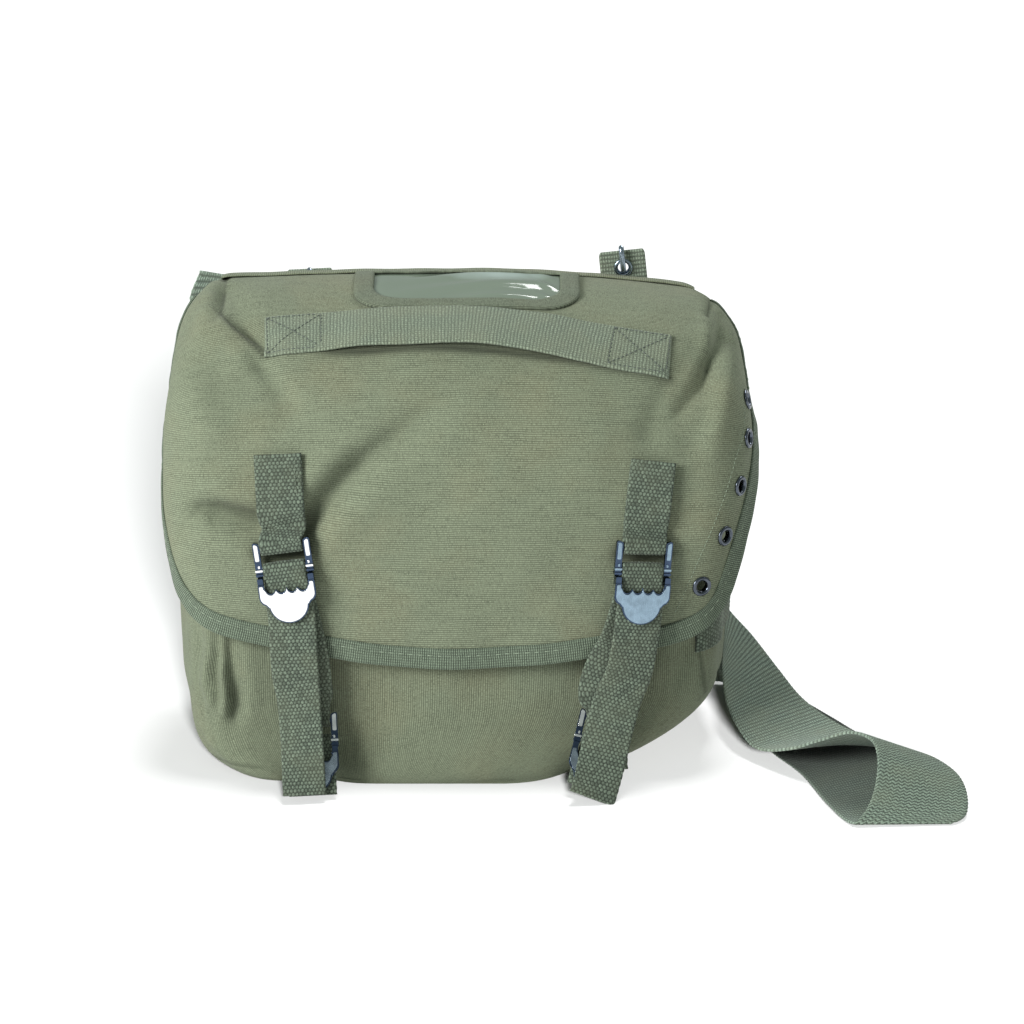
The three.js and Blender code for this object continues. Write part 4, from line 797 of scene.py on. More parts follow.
# ---------------------------------------------------------------- the bag's cloth
BODY_FOLDS = [
    (118, 70, 122, 34, 7, -3), (-50, 20, 40, 18, 16, 2),
]
BODY_CREASES = [
    # bunched cloth beside the left strap
    ([(-127, 84, 0.3), (-128.5, 68, 0.7), (-127.5, 58, 1), (-124.4, 48, 1), (-124.4, 38, 1), (-126.5, 31, 0.9), (-132, 28, 0)], 3.4, 5.5, -4.6),
    ([(-130, 80, 0.4), (-130.5, 68, 1), (-131, 56, 0.9), (-130.2, 44, 1), (-130.5, 34, 0.5)], 3.0, 2.6, 3.2),
    ([(-134, 76, 0.4), (-133.5, 66, 0.9), (-135.5, 54, 1), (-134, 44, 0.9), (-134, 38, 0.2)], 2.6, 2.6, -2.4),
    ([(-138, 84, 0.5), (-137, 72, 1), (-139.5, 60, 1), (-141.5, 49, 0.9), (-138, 40, 1), (-139, 33, 0.2)], 3.4, 3.2, 3.0),
    ([(-145, 80, 0.4), (-144, 66, 0.8), (-147, 54, 1), (-144, 42, 0.6), (-142, 32, 0)], 3.0, 3.4, -1.8),
    ([(-118, 84, 0.2), (-117, 66, 0.8), (-117, 50, 0.8), (-121, 36, 0.2)], 6, 7, 1.4),
    # gusset seam on the right
    ([(123.5, 92, 1), (124, 79, 1), (126.4, 60, 1), (129, 42, 1), (128, 34, 0.4)], 1.5, 1.5, -1.6),
    ([(128, 92, 0.6), (129, 74, 1), (131, 56, 0.8), (131, 44, 0.2)], 3.0, 3.0, 1.2),
    ([(110, 80, 0.4), (104, 60, 0.8), (92, 46, 0)], 9, 9, 1.5),
    ([(-60, 70, 0), (-40, 52, 0.7), (-10, 40, 0)], 12, 12, -1.2),
    ([(10, 60, 0), (36, 44, 0.7), (58, 30, 0)], 12, 12, 1.2),
    # seam of side and base, lower left
    ([(-146, 24, 0.3), (-141, 17, 1), (-134, 11, 1), (-124, 5, 0.6)], 1.6, 1.6, -1.2),
]
# painted shade in the bunched crease beside the left strap and along the gusset seam on the right: a line, its half
# width and how dark it gets
BODY_SHADE_LINES = [
    ([(-127.5, 60, 0.2), (-124.4, 48, 0.8), (-124.4, 38, 1), (-126.5, 31, 0.8), (-131, 28, 0)], 2.4, 0.5),
    ([(124, 92, 1), (124, 79, 1), (126.4, 60, 1), (129, 42, 1)], 1.2, 0.6),
]


def body_point(part, w):
    part, w = np.broadcast_arrays(np.asarray(part, float) % 8, np.asarray(w, float))
    rim = read(RIM_ROWS[:, 0], RIM_ROWS[:, 1], part)
    a = np.minimum(w, 1) * np.pi / 2
    grow = np.sin(a)
    foot = w <= 1
    z = np.where(foot, FOOT_HEIGHT * (1 - np.cos(a)), mix(FOOT_HEIGHT, rim, w - 1))
    col = lambda c: np.where(foot, mix(BASE[c], BODY_ROWS[0][c + 1], grow), read(BODY_ROWS[:, 0], BODY_ROWS[:, c + 1], z))
    left, right, front, back, r = (col(c) for c in range(5))
    bulge = np.where(foot, BODY_ROWS[0][6] * grow, read(BODY_ROWS[:, 0], BODY_ROWS[:, 6], z))
    x0, x1, y0, y1 = left + r, right - r, front + r, back - r
    k = np.minimum(7, np.floor(part)).astype(int)
    u = part - k
    swell = np.sin(np.pi * u) ** 2
    x = np.select([k == 0, k == 2, k == 4, k == 6], [mix(x0, x1, u), right + 0.6 * bulge * swell, mix(x1, x0, u), left - 0.6 * bulge * swell])
    y = np.select([k == 0, k == 2, k == 4, k == 6], [front - bulge * swell, mix(y0, y1, u), back + 0 * u, mix(y1, y0, u)])
    for c, (cx, cy, at) in {1: (x1, y0, -90), 3: (x1, y1, 0), 5: (x0, y1, 90), 7: (x0, y0, 180)}.items():
        ang = (at + 90 * u) * RAD
        x = np.where(k == c, cx + r * np.cos(ang), x)
        y = np.where(k == c, cy + r * np.sin(ang), y)
    facing = np.where(part < 4, 1 - step(1.0, 1.6, part), step(7.1, 7.55, part)) * step(0.12, 0.4, w)
    push = folded(BODY_FOLDS, x, z)
    for points, near, far, deep in BODY_CREASES:
        push = push + crease(points, x, z, near, far, deep)
    push = push + (0.5 * np.sin(x / 13 + z / 17) + 0.35 * np.sin(x / 7.7 - z / 12 + 1.1)) * 0.6
    # the stuffed foot leans out over the floor, except behind the two front straps
    clear = (1 - np.exp(-(((x + 82) / 15) ** 2))) * (1 - np.exp(-(((x - 72) / 15) ** 2)))
    level = np.where(part < 4, 1 - step(1.0, 1.8, part), step(7.2, 8.0, part))
    lean = 11.0 * (1 - step(1, 26, z)) * (0.25 + 0.75 * clear) * level
    corner = step(6.3, 7.1, part) * (1 - step(7.9, 8.0, part)) + step(7.9, 8.0, part) * (part > 4)
    corner = corner * (1 - step(4, 38, z))
    drawn = 9.0 * (1 - step(2, 50, z)) * step(0.7, 1.1, part) * (1 - step(2.2, 3.0, part))
    turn = np.where(k == 7, (180 + 90 * u) * RAD, -np.pi / 2)
    x, y = x + push * facing * np.cos(turn), y + push * facing * np.sin(turn)
    return np.stack([x - 5.0 * corner * (1 - step(7.6, 8.0, part)) - drawn, y - lean - 6.0 * corner * (1 - level), z], -1)


def body_out(part, w):
    w = np.clip(w, 0.012, 1.988)
    u = body_point(part + 0.004, w) - body_point(part - 0.004, w)
    v = body_point(part, w + 0.01) - body_point(part, w - 0.01)
    return unit(np.cross(u, v))


def make_bag():
    counts = [130, 32, 20, 14, 30, 14, 20, 48]
    parts = np.concatenate([k + np.arange(n) / n for k, n in enumerate(counts)])
    parts = np.roll(parts, -int(np.searchsorted(parts, 4.5)))
    w = np.concatenate([np.linspace(0.0, 1.0, 38)[:-1], np.linspace(1.0, 1.35, 34)[:-1], np.linspace(1.35, 2.0, 20)])
    P, W = np.meshgrid(parts, w)
    outer, n = body_point(P, W), body_out(P, W)
    n[0] = (0, 0, -1)
    n[-1, :, 2] = 0
    n[-1] = unit(n[-1])
    inner = outer - n * CANVAS
    inner[..., 2] = np.maximum(inner[..., 2], 1.2)
    mid = np.array([-26.0, -4.0])
    rows_o, rows_i = [], []
    for k in (0.03, 0.3, 0.6, 0.85):
        for rows, face in ((rows_o, outer), (rows_i, inner)):
            ring = face[0].copy()
            ring[:, :2] = mid + (ring[:, :2] - mid) * k
            rows.append(ring)
    outer, inner = np.concatenate([rows_o, outer]), np.concatenate([rows_i, inner])
    rows, cols = outer.shape[:2]
    around = np.concatenate([[0], np.cumsum(np.linalg.norm(np.diff(outer[60], axis=0), axis=1))])
    up = np.concatenate([[0], np.cumsum(np.linalg.norm(np.diff(outer, axis=0), axis=2).mean(1))])
    uv = np.stack(np.broadcast_arrays(up[:, None], around[None, :]), -1)
    q = grid_quads(rows, cols, True)
    n0 = rows * cols
    ring = np.arange(cols)
    nxt = np.roll(ring, -1)
    top = (rows - 1) * cols
    centre = 2 * n0
    faces = [q, q[:, ::-1] + n0, np.stack([top + ring, top + nxt, top + nxt + n0, top + ring + n0], -1),
             np.stack([nxt, ring, np.full(cols, centre), np.full(cols, centre)], -1),
             np.stack([ring + n0, nxt + n0, np.full(cols, centre + 1), np.full(cols, centre + 1)], -1)]
    v = np.concatenate([outer.reshape(-1, 3), inner.reshape(-1, 3), outer[0].mean(0)[None], inner[0].mean(0)[None]])
    u = np.concatenate([uv.reshape(-1, 2), uv.reshape(-1, 2), uv[0].mean(0)[None], uv[0].mean(0)[None]])
    dark = np.zeros(len(v))
    # painted shade: a dark line along the seam of side and base at the lower left, and the shade lines below, for the
    # cloth's shade attribute
    ring = 0.6 * np.exp(-(((W - 0.36) / 0.018) ** 2)) * step(7.1, 7.35, P) * (1 - step(7.85, 8.0, P))
    dark[4 * cols:n0] = ring.reshape(-1)
    for points, wide, k in BODY_SHADE_LINES:
        dark = np.maximum(dark, crease(points, v[:, 0], v[:, 2], wide, wide, k) * (v[:, 1] < 0))
    girth = around[-1] + np.linalg.norm(outer[60][0] - outer[60][-1])
    return (v, outward(v, np.concatenate(faces)), u), dark, girth


# ---------------------------------------------------------------- tapes
def free_edge(pitch=1.0):
    """The flap's free edge on the flat cloth from the back left corner round to the back right one, with its inward direction."""
    j = np.linspace(0.045, 1, 260)
    i = np.linspace(0, 1, 320)[1:-1]
    one = np.ones_like
    left, foot, right = flap_flat(0 * j, j), flap_flat(i, one(i)), flap_flat(one(j), j[::-1])
    e = np.concatenate([np.stack(x, -1) for x in (left, foot, right)])
    s = np.concatenate([[0], np.cumsum(np.hypot(*np.diff(e, axis=0).T))])
    at = np.linspace(0, s[-1], int(s[-1] / pitch) + 1)
    e = np.stack([np.interp(at, s, e[:, c]) for c in (0, 1)], -1)
    for _ in range(6):
        e[1:-1] = (e[:-2] + 2 * e[1:-1] + e[2:]) / 4
    d = np.gradient(e, axis=0)
    d /= np.linalg.norm(d, axis=1, keepdims=True)
    inward = np.stack([d[:, 1], -d[:, 0]], -1)
    for _ in range(8):
        inward[1:-1] = (inward[:-2] + 2 * inward[1:-1] + inward[2:]) / 4
    return e, inward / np.linalg.norm(inward, axis=1, keepdims=True), at


def make_binding():
    e, inward, at = free_edge(0.8)
    hold, thick, wide = CANVAS / 2 + 0.12, 0.95, TAPE_WIDTH - 1.2
    face = hold + thick
    top = [(wide, hold - 0.1), (wide + 0.1, hold + 0.45), (wide - 0.35, face - 0.08)] + [(w, face) for w in np.linspace(wide - 1, 0.6, 8)]
    turn = [(0.6 - (face + 0.1) * 0.62 * math.sin(a), face * math.cos(a)) for a in np.linspace(0.35, math.pi - 0.35, 7)]
    low = [(w, -face) for w in np.linspace(0.6, wide - 0.6, 5)] + [(wide, -face + 0.4), (wide, -hold)]
    inside = [(0.2, -hold), (-0.25, 0.0), (0.2, hold)]
    section = np.array(top + turn + low + inside)
    puff = 0.05 * np.sin(at * 2 * np.pi / 1.75) + 0.14 * np.sin(at / 9.0) + 0.1 * np.sin(at / 3.7)
    w, n = np.broadcast_arrays(section[None, :, 0], section[None, :, 1])
    n = n + np.where(np.abs(section[:, 1]) > hold + 0.2, np.sign(section[:, 1]), 0)[None, :] * puff[:, None]
    w = w + 0 * at[:, None]
    t = e[:, None, 0] + inward[:, None, 0] * w
    v = e[:, None, 1] + inward[:, None, 1] * w
    run = np.concatenate([[0], np.cumsum(np.linalg.norm(np.diff(section, axis=0), axis=1))])
    uv = np.stack(np.broadcast_arrays(run[None, :], at[:, None]), -1)
    return swept(on_flap(t, v, n), uv)


def binding_stitches():
    e, inward, at = free_edge(1.0)
    k = 7.6
    t, v = e[:, 0] + inward[:, 0] * k, e[:, 1] + inward[:, 1] * k
    return thread(on_flap(t, v, np.full(len(t), CANVAS / 2 + 1.12)), flap_out(t, v), pitch=5.2, share=0.6, radius=0.24, sink=0.16)


def make_back_binding():
    section = np.array([(4.6, -13), (4.75, -6), (4.6, 1.0), (4.0, 2.4), (2.6, 3.2), (0, 3.45), (-4, 3.45), (-7.2, 3.4), (-7.5, 2.8), (-7.2, 2.2), (0, 2.1), (2.2, 2.0), (3.5, 0.6), (3.5, -13)])
    section[:, 1] = np.where(section[:, 1] > 0, section[:, 1] * 0.62, section[:, 1])
    t = np.linspace(-134, 124, 260)
    p, out = flap_frame(t, 0 * t), normal_of(flap_form, t, 0 * t + 0.8, 0.6, -1)
    dy, dz = section[None, :, 0], section[None, :, 1]
    drop = np.where(dy < 0, read(LINE_V, FLAP_LINE[:, 1], -dy) - FLAP_LINE[0][1], 0)
    near = dy > 2.5
    ripple = 0.22 * np.sin(t / 5.3)[:, None] + 0.2 * np.sin(t / 13.0)[:, None]
    x = p[:, None, 0] + np.where(near, 0, out[:, None, 0] * dz)
    y = p[:, None, 1] + dy + 0 * x
    z = p[:, None, 2] + dz + drop + 0 * x + np.where(dz > 0.9, ripple * 0.6, 0)
    run = np.concatenate([[0], np.cumsum(np.linalg.norm(np.diff(section, axis=0), axis=1))])
    return swept(np.stack([x, y, z], -1), np.stack(np.broadcast_arrays(run[None, :], t[:, None]), -1))


# ---------------------------------------------------------------- window
PATCH = dict(half=61.0, v0=10.5, v1=64.0, corner=20.0, sill=10.5, base=9.0)


def patch_ring(count=220):
    h, v0, v1, c = PATCH["half"], PATCH["v0"], PATCH["v1"], PATCH["corner"]
    a = np.linspace(0, np.pi / 2, 16)
    pts = [(-h, v0), (h, v0)]
    pts += [(h - c + c * math.cos(x), v1 - c + c * math.sin(x)) for x in a]
    pts += [(-h + c - c * math.sin(x), v1 - c + c * math.cos(x)) for x in a]
    pts = np.array(pts + [pts[0]])
    s = np.concatenate([[0], np.cumsum(np.hypot(*np.diff(pts, axis=0).T))])
    at = np.linspace(0, s[-1], count, endpoint=False)
    return np.stack([np.interp(at, s, pts[:, c]) for c in (0, 1)], -1), at


def make_surround():
    ring, at = patch_ring(300)
    mid = np.array([0, (PATCH["v0"] + PATCH["v1"] - 1.6 * PATCH["base"] + 1.0) / 2])
    k = np.array([(PATCH["half"] - PATCH["sill"]) / PATCH["half"], (PATCH["v1"] - PATCH["v0"] - 1.35 * PATCH["base"]) / (PATCH["v1"] - PATCH["v0"])])
    # across the patch, 0 at the cut-out and 1 at its outline, and height on the cloth
    section = [(1.0, 1.1), (1.012, 1.9), (0.985, 2.7), (0.9, 3.0), (0.7, 3.1), (0.5, 3.15), (0.3, 3.2), (0.12, 3.25), (0.02, 3.1), (-0.02, 2.6), (0.0, 2.1), (0.2, 2.0), (0.6, 1.6)]
    rows = []
    for s, n in section:
        m = mid + (ring - mid) * mix(k, 1.0, s)
        wave_ = 0.25 * np.sin(at / 6.1) + 0.15 * np.sin(at / 2.7)
        rows.append(on_flap(m[:, 0], m[:, 1], n + wave_ * (0.4 if n > 1.8 else 0)))
    stations = np.stack(rows, 1)
    m = stations.shape[1]
    i, j = np.meshgrid(np.arange(len(ring)), np.arange(m), indexing="ij")
    i2, j2 = (i + 1) % len(ring), (j + 1) % m
    f = np.stack([i * m + j, i * m + j2, i2 * m + j2, i2 * m + j], -1).reshape(-1, 4)
    v = stations.reshape(-1, 3)
    flat = np.stack([mid + (ring - mid) * mix(k, 1.0, s) for s, n in section], 1)
    return v, outward(v, f), flat.reshape(-1, 2)


def make_pane():
    h, c, v1 = PATCH["half"], PATCH["corner"], PATCH["v1"]
    v = np.linspace(PATCH["v0"] + 1.5, v1 - 5, 46)
    reach = h - c + np.sqrt(c * c - np.clip(v - (v1 - c), 0, c) ** 2) - 4.5
    T = reach[:, None] * np.linspace(-1, 1, 91)[None, :]
    V = np.broadcast_to(v[:, None], T.shape)
    inside = step(2, 12, reach[:, None] - 1 - np.abs(T)) * step(0.5, 9, np.minimum(V - v[0], v[-1] - V))
    swell = 1.2 * np.exp(-(((T - 18) / 24) ** 2) - ((V - 13) / 15) ** 2)
    waves = 0.75 * np.sin(V / 2.9 + 1.4 * np.sin(T / 19 + 0.6) + T / 34) * (0.55 + 0.45 * np.sin(T / 23 + 0.9))
    waves = waves + 0.45 * np.sin(T / 2.6 - V / 2.3 + 0.8) * np.exp(-(((T - 42) / 9) ** 2))
    lift = 1.2 + inside * (0.6 + 0.8 * swell + 0.85 * np.maximum(waves, -0.6))
    return sheet_solid(on_flap(T, V, lift + 0.3), on_flap(T, V, lift - 0.1), np.stack([T, V], -1))


# ---------------------------------------------------------------- handle
HANDLE_ROWS = np.array([
    (-108, 80.5, 0, 0), (-92, 80, 0, 0), (-74, 79.5, 0.4, 0.8), (-56, 79.3, 1.0, 2.6), (-30, 78.4, 1.0, 1.6), (-6, 78.2, 1.0, 2.4), (14, 79.6, 1.0, 2.9),
    (44, 84, 1.0, 2.2), (66, 88, 0.4, 1), (84, 91, 0, 0), (109, 93.8, 0, 0),
], float)
HANDLE_WIDTH = 28.5


def handle_at(t, s, n):
    """A point of the handle: t along, s from -0.5 to 0.5 across, n above its underside."""
    v, up_, low = (read(HANDLE_ROWS[:, 0], HANDLE_ROWS[:, c], t) for c in (1, 2, 3))
    slope = (read(HANDLE_ROWS[:, 0], HANDLE_ROWS[:, 1], t + 1) - read(HANDLE_ROWS[:, 0], HANDLE_ROWS[:, 1], t - 1)) / 2
    lift = mix(up_, low, s + 0.5)
    free = step(0.2, 2.5, lift)
    tt, vv = t - slope * s * HANDLE_WIDTH, v + s * HANDLE_WIDTH
    base = flap_form(tt, vv) + normal_of(flap_form, tt, vv, 0.6, -1) * mix(flap_folds(tt, vv), folded(FLAP_FOLDS, tt, vv), free)[..., None]
    out = normal_of(flap_form, tt, vv, 0.6, -1)
    centre = normal_of(flap_form, t, v, 0.6, -1)
    return base + out * (CANVAS / 2 + 0.25 + 0.5 * free)[..., None] + centre * (lift + n)[..., None]


def make_handle():
    t = np.linspace(HANDLE_ROWS[0][0], HANDLE_ROWS[-1][0], 500)
    s = np.linspace(-0.5, 0.5, 41)
    T, S = np.meshgrid(t, s, indexing="ij")
    edge = np.clip((0.5 - np.abs(S)) * HANDLE_WIDTH / 1.6, 0, 1)
    rope = np.exp(-(((0.5 - np.abs(S)) * HANDLE_WIDTH - 1.3) / 1.0) ** 2)
    ribs = np.abs(np.cos(np.pi * T / 1.8)) ** 0.8
    knot = np.abs(np.cos(np.pi * (T + 0.55 * np.sign(S)) / 2.4 + (0.5 - np.abs(S)) * HANDLE_WIDTH * 0.9))
    body = 0.35 + 0.65 * np.sqrt(np.clip(1 - (1 - edge) ** 2, 0, 1))
    high = 1.55 * body + 0.13 * ribs * (1 - rope) + rope * (0.12 + 0.25 * knot)
    ends = step(0, 1.2, np.minimum(T - t[0], t[-1] - T))
    high = high * (0.45 + 0.55 * ends)
    uv = np.stack([S * HANDLE_WIDTH, T], -1)
    return sheet_solid(handle_at(T, S, high), handle_at(T, S, 0.15 + 0.12 * ribs), uv)


def handle_stitches():
    parts = []
    for a, b in ((-106.5, -77.5), (77, 107.5)):
        for line in (((a, -0.43), (b, -0.43)), ((a, 0.43), (b, 0.43)), ((a, -0.43), (a, 0.43)), ((b, -0.43), (b, 0.43)), ((a, -0.43), (b, 0.43)), ((a, 0.43), (b, -0.43))):
            k = np.linspace(0, 1, 60)
            t, s = mix(line[0][0], line[1][0], k), mix(line[0][1], line[1][1], k)
            p = handle_at(t, s, np.full(60, 1.85))
            parts.append(thread(p, unit(handle_at(t, s, np.full(60, 3.0)) - p), pitch=2.7, share=0.74, radius=0.3, sink=0.0))
    return joined(parts)


# ---------------------------------------------------------------- buckles
BUCKLE = dict(half=14.7, post=2.4, top=9.0, foot=-9.5, thick=2.0, upperBar=(4.0, 6.2), lowerBar=(-6.4, -4.2))
LEVER = dict(arm=-10.0, tooth=-17.0, shoulder=-22.7, tab=10.4, end=-34.8, n=4.2, thick=1.4, teeth=4)
UPPER = dict(left=(-97, 207.6, 6.6, 8, 0.0), right=(93.3, 207.4, 7.4, -5, 0.2))
LOWER = dict(left=(-83.5, -75.5, 31, 34, 3), right=(73.5, -75.5, 31, 34, -13))


class Place:
    def __init__(self, o, across, out, roll):
        n = unit(np.asarray(out, float))
        p0 = unit(np.asarray(across, float) - n * (np.asarray(across, float) @ n))
        q0 = np.cross(n, p0)
        c, s = math.cos(roll * RAD), math.sin(roll * RAD)
        self.o, self.p, self.q, self.n = np.asarray(o, float), p0 * c + q0 * s, q0 * c - p0 * s, n

    half = BUCKLE["half"]

    def at(self, a, b, d):
        a, b, d = (np.asarray(x, float)[..., None] for x in (a, b, d))
        return self.o + self.p * a + self.q * b + self.n * d


def upper_place(side):
    t, v, out, roll, turn = UPPER[side]
    n = normal_of(flap_form, np.array(float(t)), np.array(float(v)), 0.6, -1)
    at = flap_frame(np.array(float(t)), np.array(float(v))) + normal_of(flap_frame, np.array(float(t)), np.array(float(v)), 0.6, -1) * out
    made = Place(at, (1, 0, 0), (n[0] * 0.4 + turn, n[1], n[2]), roll)
    made.level = Place(at, (1, 0, 0), (n[0] * 0.4, n[1], n[2]), roll).p
    return made


def lower_place(side):
    x, y, z, lean, roll = LOWER[side]
    made = Place((x, y, z), (1, 0, 0), (0, -math.cos(lean * RAD), math.sin(lean * RAD)), roll)
    made.half = 13.9
    return made


PLACES = {("upper", s): upper_place(s) for s in ("left", "right")} | {("lower", s): lower_place(s) for s in ("left", "right")}


def slab(outline, n0, n1, place, bend=None):
    """A flat plate of the given outline, as points and polygons."""
    o = np.asarray(outline, float)
    k = len(o)
    area = float((o[:, 0] * np.roll(o[:, 1], -1) - np.roll(o[:, 0], -1) * o[:, 1]).sum())
    if area < 0:
        o = o[::-1]
    d = np.zeros(k) if bend is None else bend(o[:, 0], o[:, 1])
    v = np.concatenate([place.at(o[:, 0], o[:, 1], n0 + d), place.at(o[:, 0], o[:, 1], n1 + d)])
    f = [list(range(k))[::-1], [k + x for x in range(k)]]
    f += [[i, (i + 1) % k, k + (i + 1) % k, k + i] for i in range(k)]
    return v, f


def show_slabs(name, slabs, materials, replaces, bevel=0.35, segments=3):
    """Plates as one object; each comes with the number of its finish."""
    v, f, kind, at = [], [], [], 0
    for (a, b), k in slabs:
        v.append(a)
        f += [[x + at for x in row] for row in b]
        kind += [k] * len(b)
        at += len(a)
    v = np.concatenate(v)
    me = bpy.data.meshes.new(name)
    me.from_pydata((v * MM).tolist(), [], f)
    layer = me.uv_layers.new(name="Cloth")
    index = np.zeros(len(me.loops), np.int32)
    me.loops.foreach_get("vertex_index", index)
    layer.data.foreach_set("uv", (v[index][:, [0, 2]] * MM).astype(np.float32).ravel())
    me.polygons.foreach_set("use_smooth", np.full(len(me.polygons), True))
    for m in materials:
        me.materials.append(m)
    me.polygons.foreach_set("material_index", np.array(kind, np.int32))
    me.update()
    o = bpy.data.objects.new(name, me)
    bpy.context.scene.collection.objects.link(o)
    m = o.modifiers.new("edges", "BEVEL")
    m.width, m.segments, m.limit_method, m.angle_limit = bevel * MM, segments, "ANGLE", 28 * RAD
    m.harden_normals = True
    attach(o, "root")
    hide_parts(*replaces)
    return o


def rounded(points, radius, n=5):
    """A polygon with its corners rounded; radius is one number or one per corner."""
    p = np.asarray(points, float)
    r = np.broadcast_to(np.asarray(radius, float), len(p))
    out = []
    for i in range(len(p)):
        a, b, c = p[i - 1], p[i], p[(i + 1) % len(p)]
        la, lc = np.linalg.norm(a - b), np.linalg.norm(c - b)
        k = min(r[i], la * 0.48, lc * 0.48)
        if k < 0.05:
            out.append(b)
            continue
        s, e = b + (a - b) / la * k, b + (c - b) / lc * k
        for u in np.linspace(0, 1, n):
            out.append((1 - u) ** 2 * s + 2 * u * (1 - u) * b + u * u * e)
    return np.array(out)


def ladder(place):
    """Posts with a bright upper half, blued lower half and two ridges, and the two bars; the bright upper halves, a
    glint strip on each post and the upper ridge are painted highlights in bright steel.
    """
    b = BUCKLE
    half, inner = place.half + 0.7, place.half - 2.9
    parts = []
    for s in (-1, 1):
        post = rounded([(s * inner, b["foot"]), (s * half, b["foot"]), (s * half, b["top"] - 0.4), (s * (half - 0.8), b["top"] + 0.6), (s * inner, b["top"] - 0.4)], (0.6, 0.6, 0.9, 0.9, 0.9), 4)
        parts.append((slab(post, -1.2, 1.35, place), 1))
        # painted highlight: bright steel over the upper half of the post, and a glint strip below it
        painted_highlight = rounded([(s * (inner + 0.75), -0.6), (s * (half - 0.65), -0.6), (s * (half - 0.65), b["top"] - 0.8), (s * (half - 1.2), b["top"] - 0.2), (s * (inner + 0.75), b["top"] - 1.1)], 0.6, 4)
        parts.append((slab(painted_highlight, 1.0, 1.85, place), 0))
        glint = rounded([(s * (inner + 1.0), -4.6), (s * (half - 1.5), -4.6), (s * (half - 1.5), -3.2), (s * (inner + 1.0), -2.9)], 0.4, 4)
        parts.append((slab(glint, 1.0, 1.7, place), 0))
        # the upper ridge in bright steel is a painted glint, the lower one blued
        for q, k in ((-5.9, 0), (-8.2, 1)):
            ring = rounded([(s * (inner - 0.3), q - 0.6), (s * (half + 0.2), q - 0.6), (s * (half + 0.2), q + 0.6), (s * (inner - 0.3), q + 0.6)], 0.5, 4)
            parts.append((slab(ring, -1.4, 2.2, place), k))
    for lo, hi in (b["upperBar"], b["lowerBar"]):
        parts.append((slab([(-inner - 0.3, lo), (inner + 0.3, lo), (inner + 0.3, hi), (-inner - 0.3, hi)], -1.0, 1.0, place), 1))
    return parts


def plate_outline(place, grow):
    l = LEVER
    half, inner = place.half + 0.2 + grow, place.half - 2.6 - grow
    top, low = l["arm"] - 3.2 + grow, l["shoulder"]
    right = [(inner, top), (half, top), (half, low + 1.6 - grow * 0.4), (half - 1.4, low - 0.6 - grow), (l["tab"] + 1.6 + grow * 0.6, low - 1.2 - grow), (l["tab"] + grow, low - 3.4 - grow * 0.5)]
    side = rounded(np.array([(inner, l["tooth"] + 2.0)] + right), (0, 0.7, 0.7, 1.2, 1.0, 1.4, 0.6), 4)
    a = np.linspace(0, np.pi, 30)
    r = l["tab"] + grow
    tab = np.stack([r * np.cos(a), l["end"] + l["tab"] - r * np.sin(a)], -1)
    left = (side * np.array([-1, 1]))[::-1]
    full = place.half - 2.6 - 0.6
    pitch = 2 * full / l["teeth"]
    x = np.linspace(-inner + 0.6, inner - 0.6, 57)[1:-1]
    bite = np.abs(np.sin(np.pi * (x + full) / pitch)) ** 0.55
    teeth = np.stack([x, l["tooth"] + 1.5 + grow - 3.0 * bite], -1)
    return np.concatenate([side, tab[1:-1], left, teeth])


def thumb_plate(place):
    """A bright plate on a blued rim, with its two arms."""
    l = LEVER
    half, inner = place.half + 0.2, place.half - 2.6
    arms = [(slab(rounded([(s * (inner - 0.1), l["arm"] - 4.5), (s * (half + 0.2), l["arm"] - 4.5), (s * (half + 0.2), l["arm"] + 0.4), (s * (inner - 0.1), l["arm"] + 0.4)], 0.6, 4), 0.0, l["n"] + 0.3, place), 1) for s in (-1, 1)]
    return [(slab(plate_outline(place, 0.35), l["n"] - 0.1, l["n"] + 0.85, place), 1), (slab(plate_outline(place, -0.35), l["n"] + 0.6, l["n"] + l["thick"] + 0.1, place), 0)] + arms


# ---------------------------------------------------------------- front straps
CLEAR = 1.5 + WEB / 2
STUB_TOP = dict(left=(-99.5, 152), right=(99.2, 156))
FREE_END = dict(
    left=[(-91.2, -78, 66), (-89.6, -78.5, 52), (-88.4, -83.5, 38), (-87.2, -91.5, 23), (-86.4, -99, 10.4), (-86, -102, 4.8)],
    right=[(87, -78, 66), (81.5, -78.5, 52), (77, -83.5, 38), (73, -91.5, 23), (69, -100, 9), (67, -104, 3.6)],
)
TAUT = dict(
    left=[(-84.3, -72.5, 52), (-85.4, -72, 66), (-87.6, -71.8, 80)],
    right=[(72.5, -73.5, 52), (76, -73.8, 66), (83, -72.6, 80)],
)
BOTTOM_ROOT = dict(left=(-80, -66.8, 14, -35.5), right=(76, -66, 14, -32))


def round_bar(bar, way):
    a = np.linspace(0, np.pi, 7)
    return (bar[0] + bar[1]) / 2 - way * CLEAR * np.sin(a), way * CLEAR * np.cos(a)


def in_place(place, pairs):
    q, n = pairs
    return list(place.at(0 * q, q, n))


def stub_line(side):
    f, (tt, tv), (lt, lv) = PLACES["upper", side], STUB_TOP[side], UPPER[side][:2]
    lay = CANVAS / 2 + 0.85 + WEB / 2

    def run(a, b, n):
        s = np.linspace(a, b, 6)
        return list(on_flap(mix(tt, lt, s), mix(tv, lv, s), np.full(6, n)))

    front, back = run(0, 0.72, lay + WEB + 0.25), run(0.72, 0.06, lay)

    def hint(k):
        w = (step(0.24, 0.4, k) - step(0.52, 0.68, k))[:, None]
        return f.level * (1 - w) + f.p * w

    return [*front, f.at(0, 9.5, CLEAR), *in_place(f, round_bar(BUCKLE["upperBar"], 1)), f.at(0, 9.5, -CLEAR), *back], hint


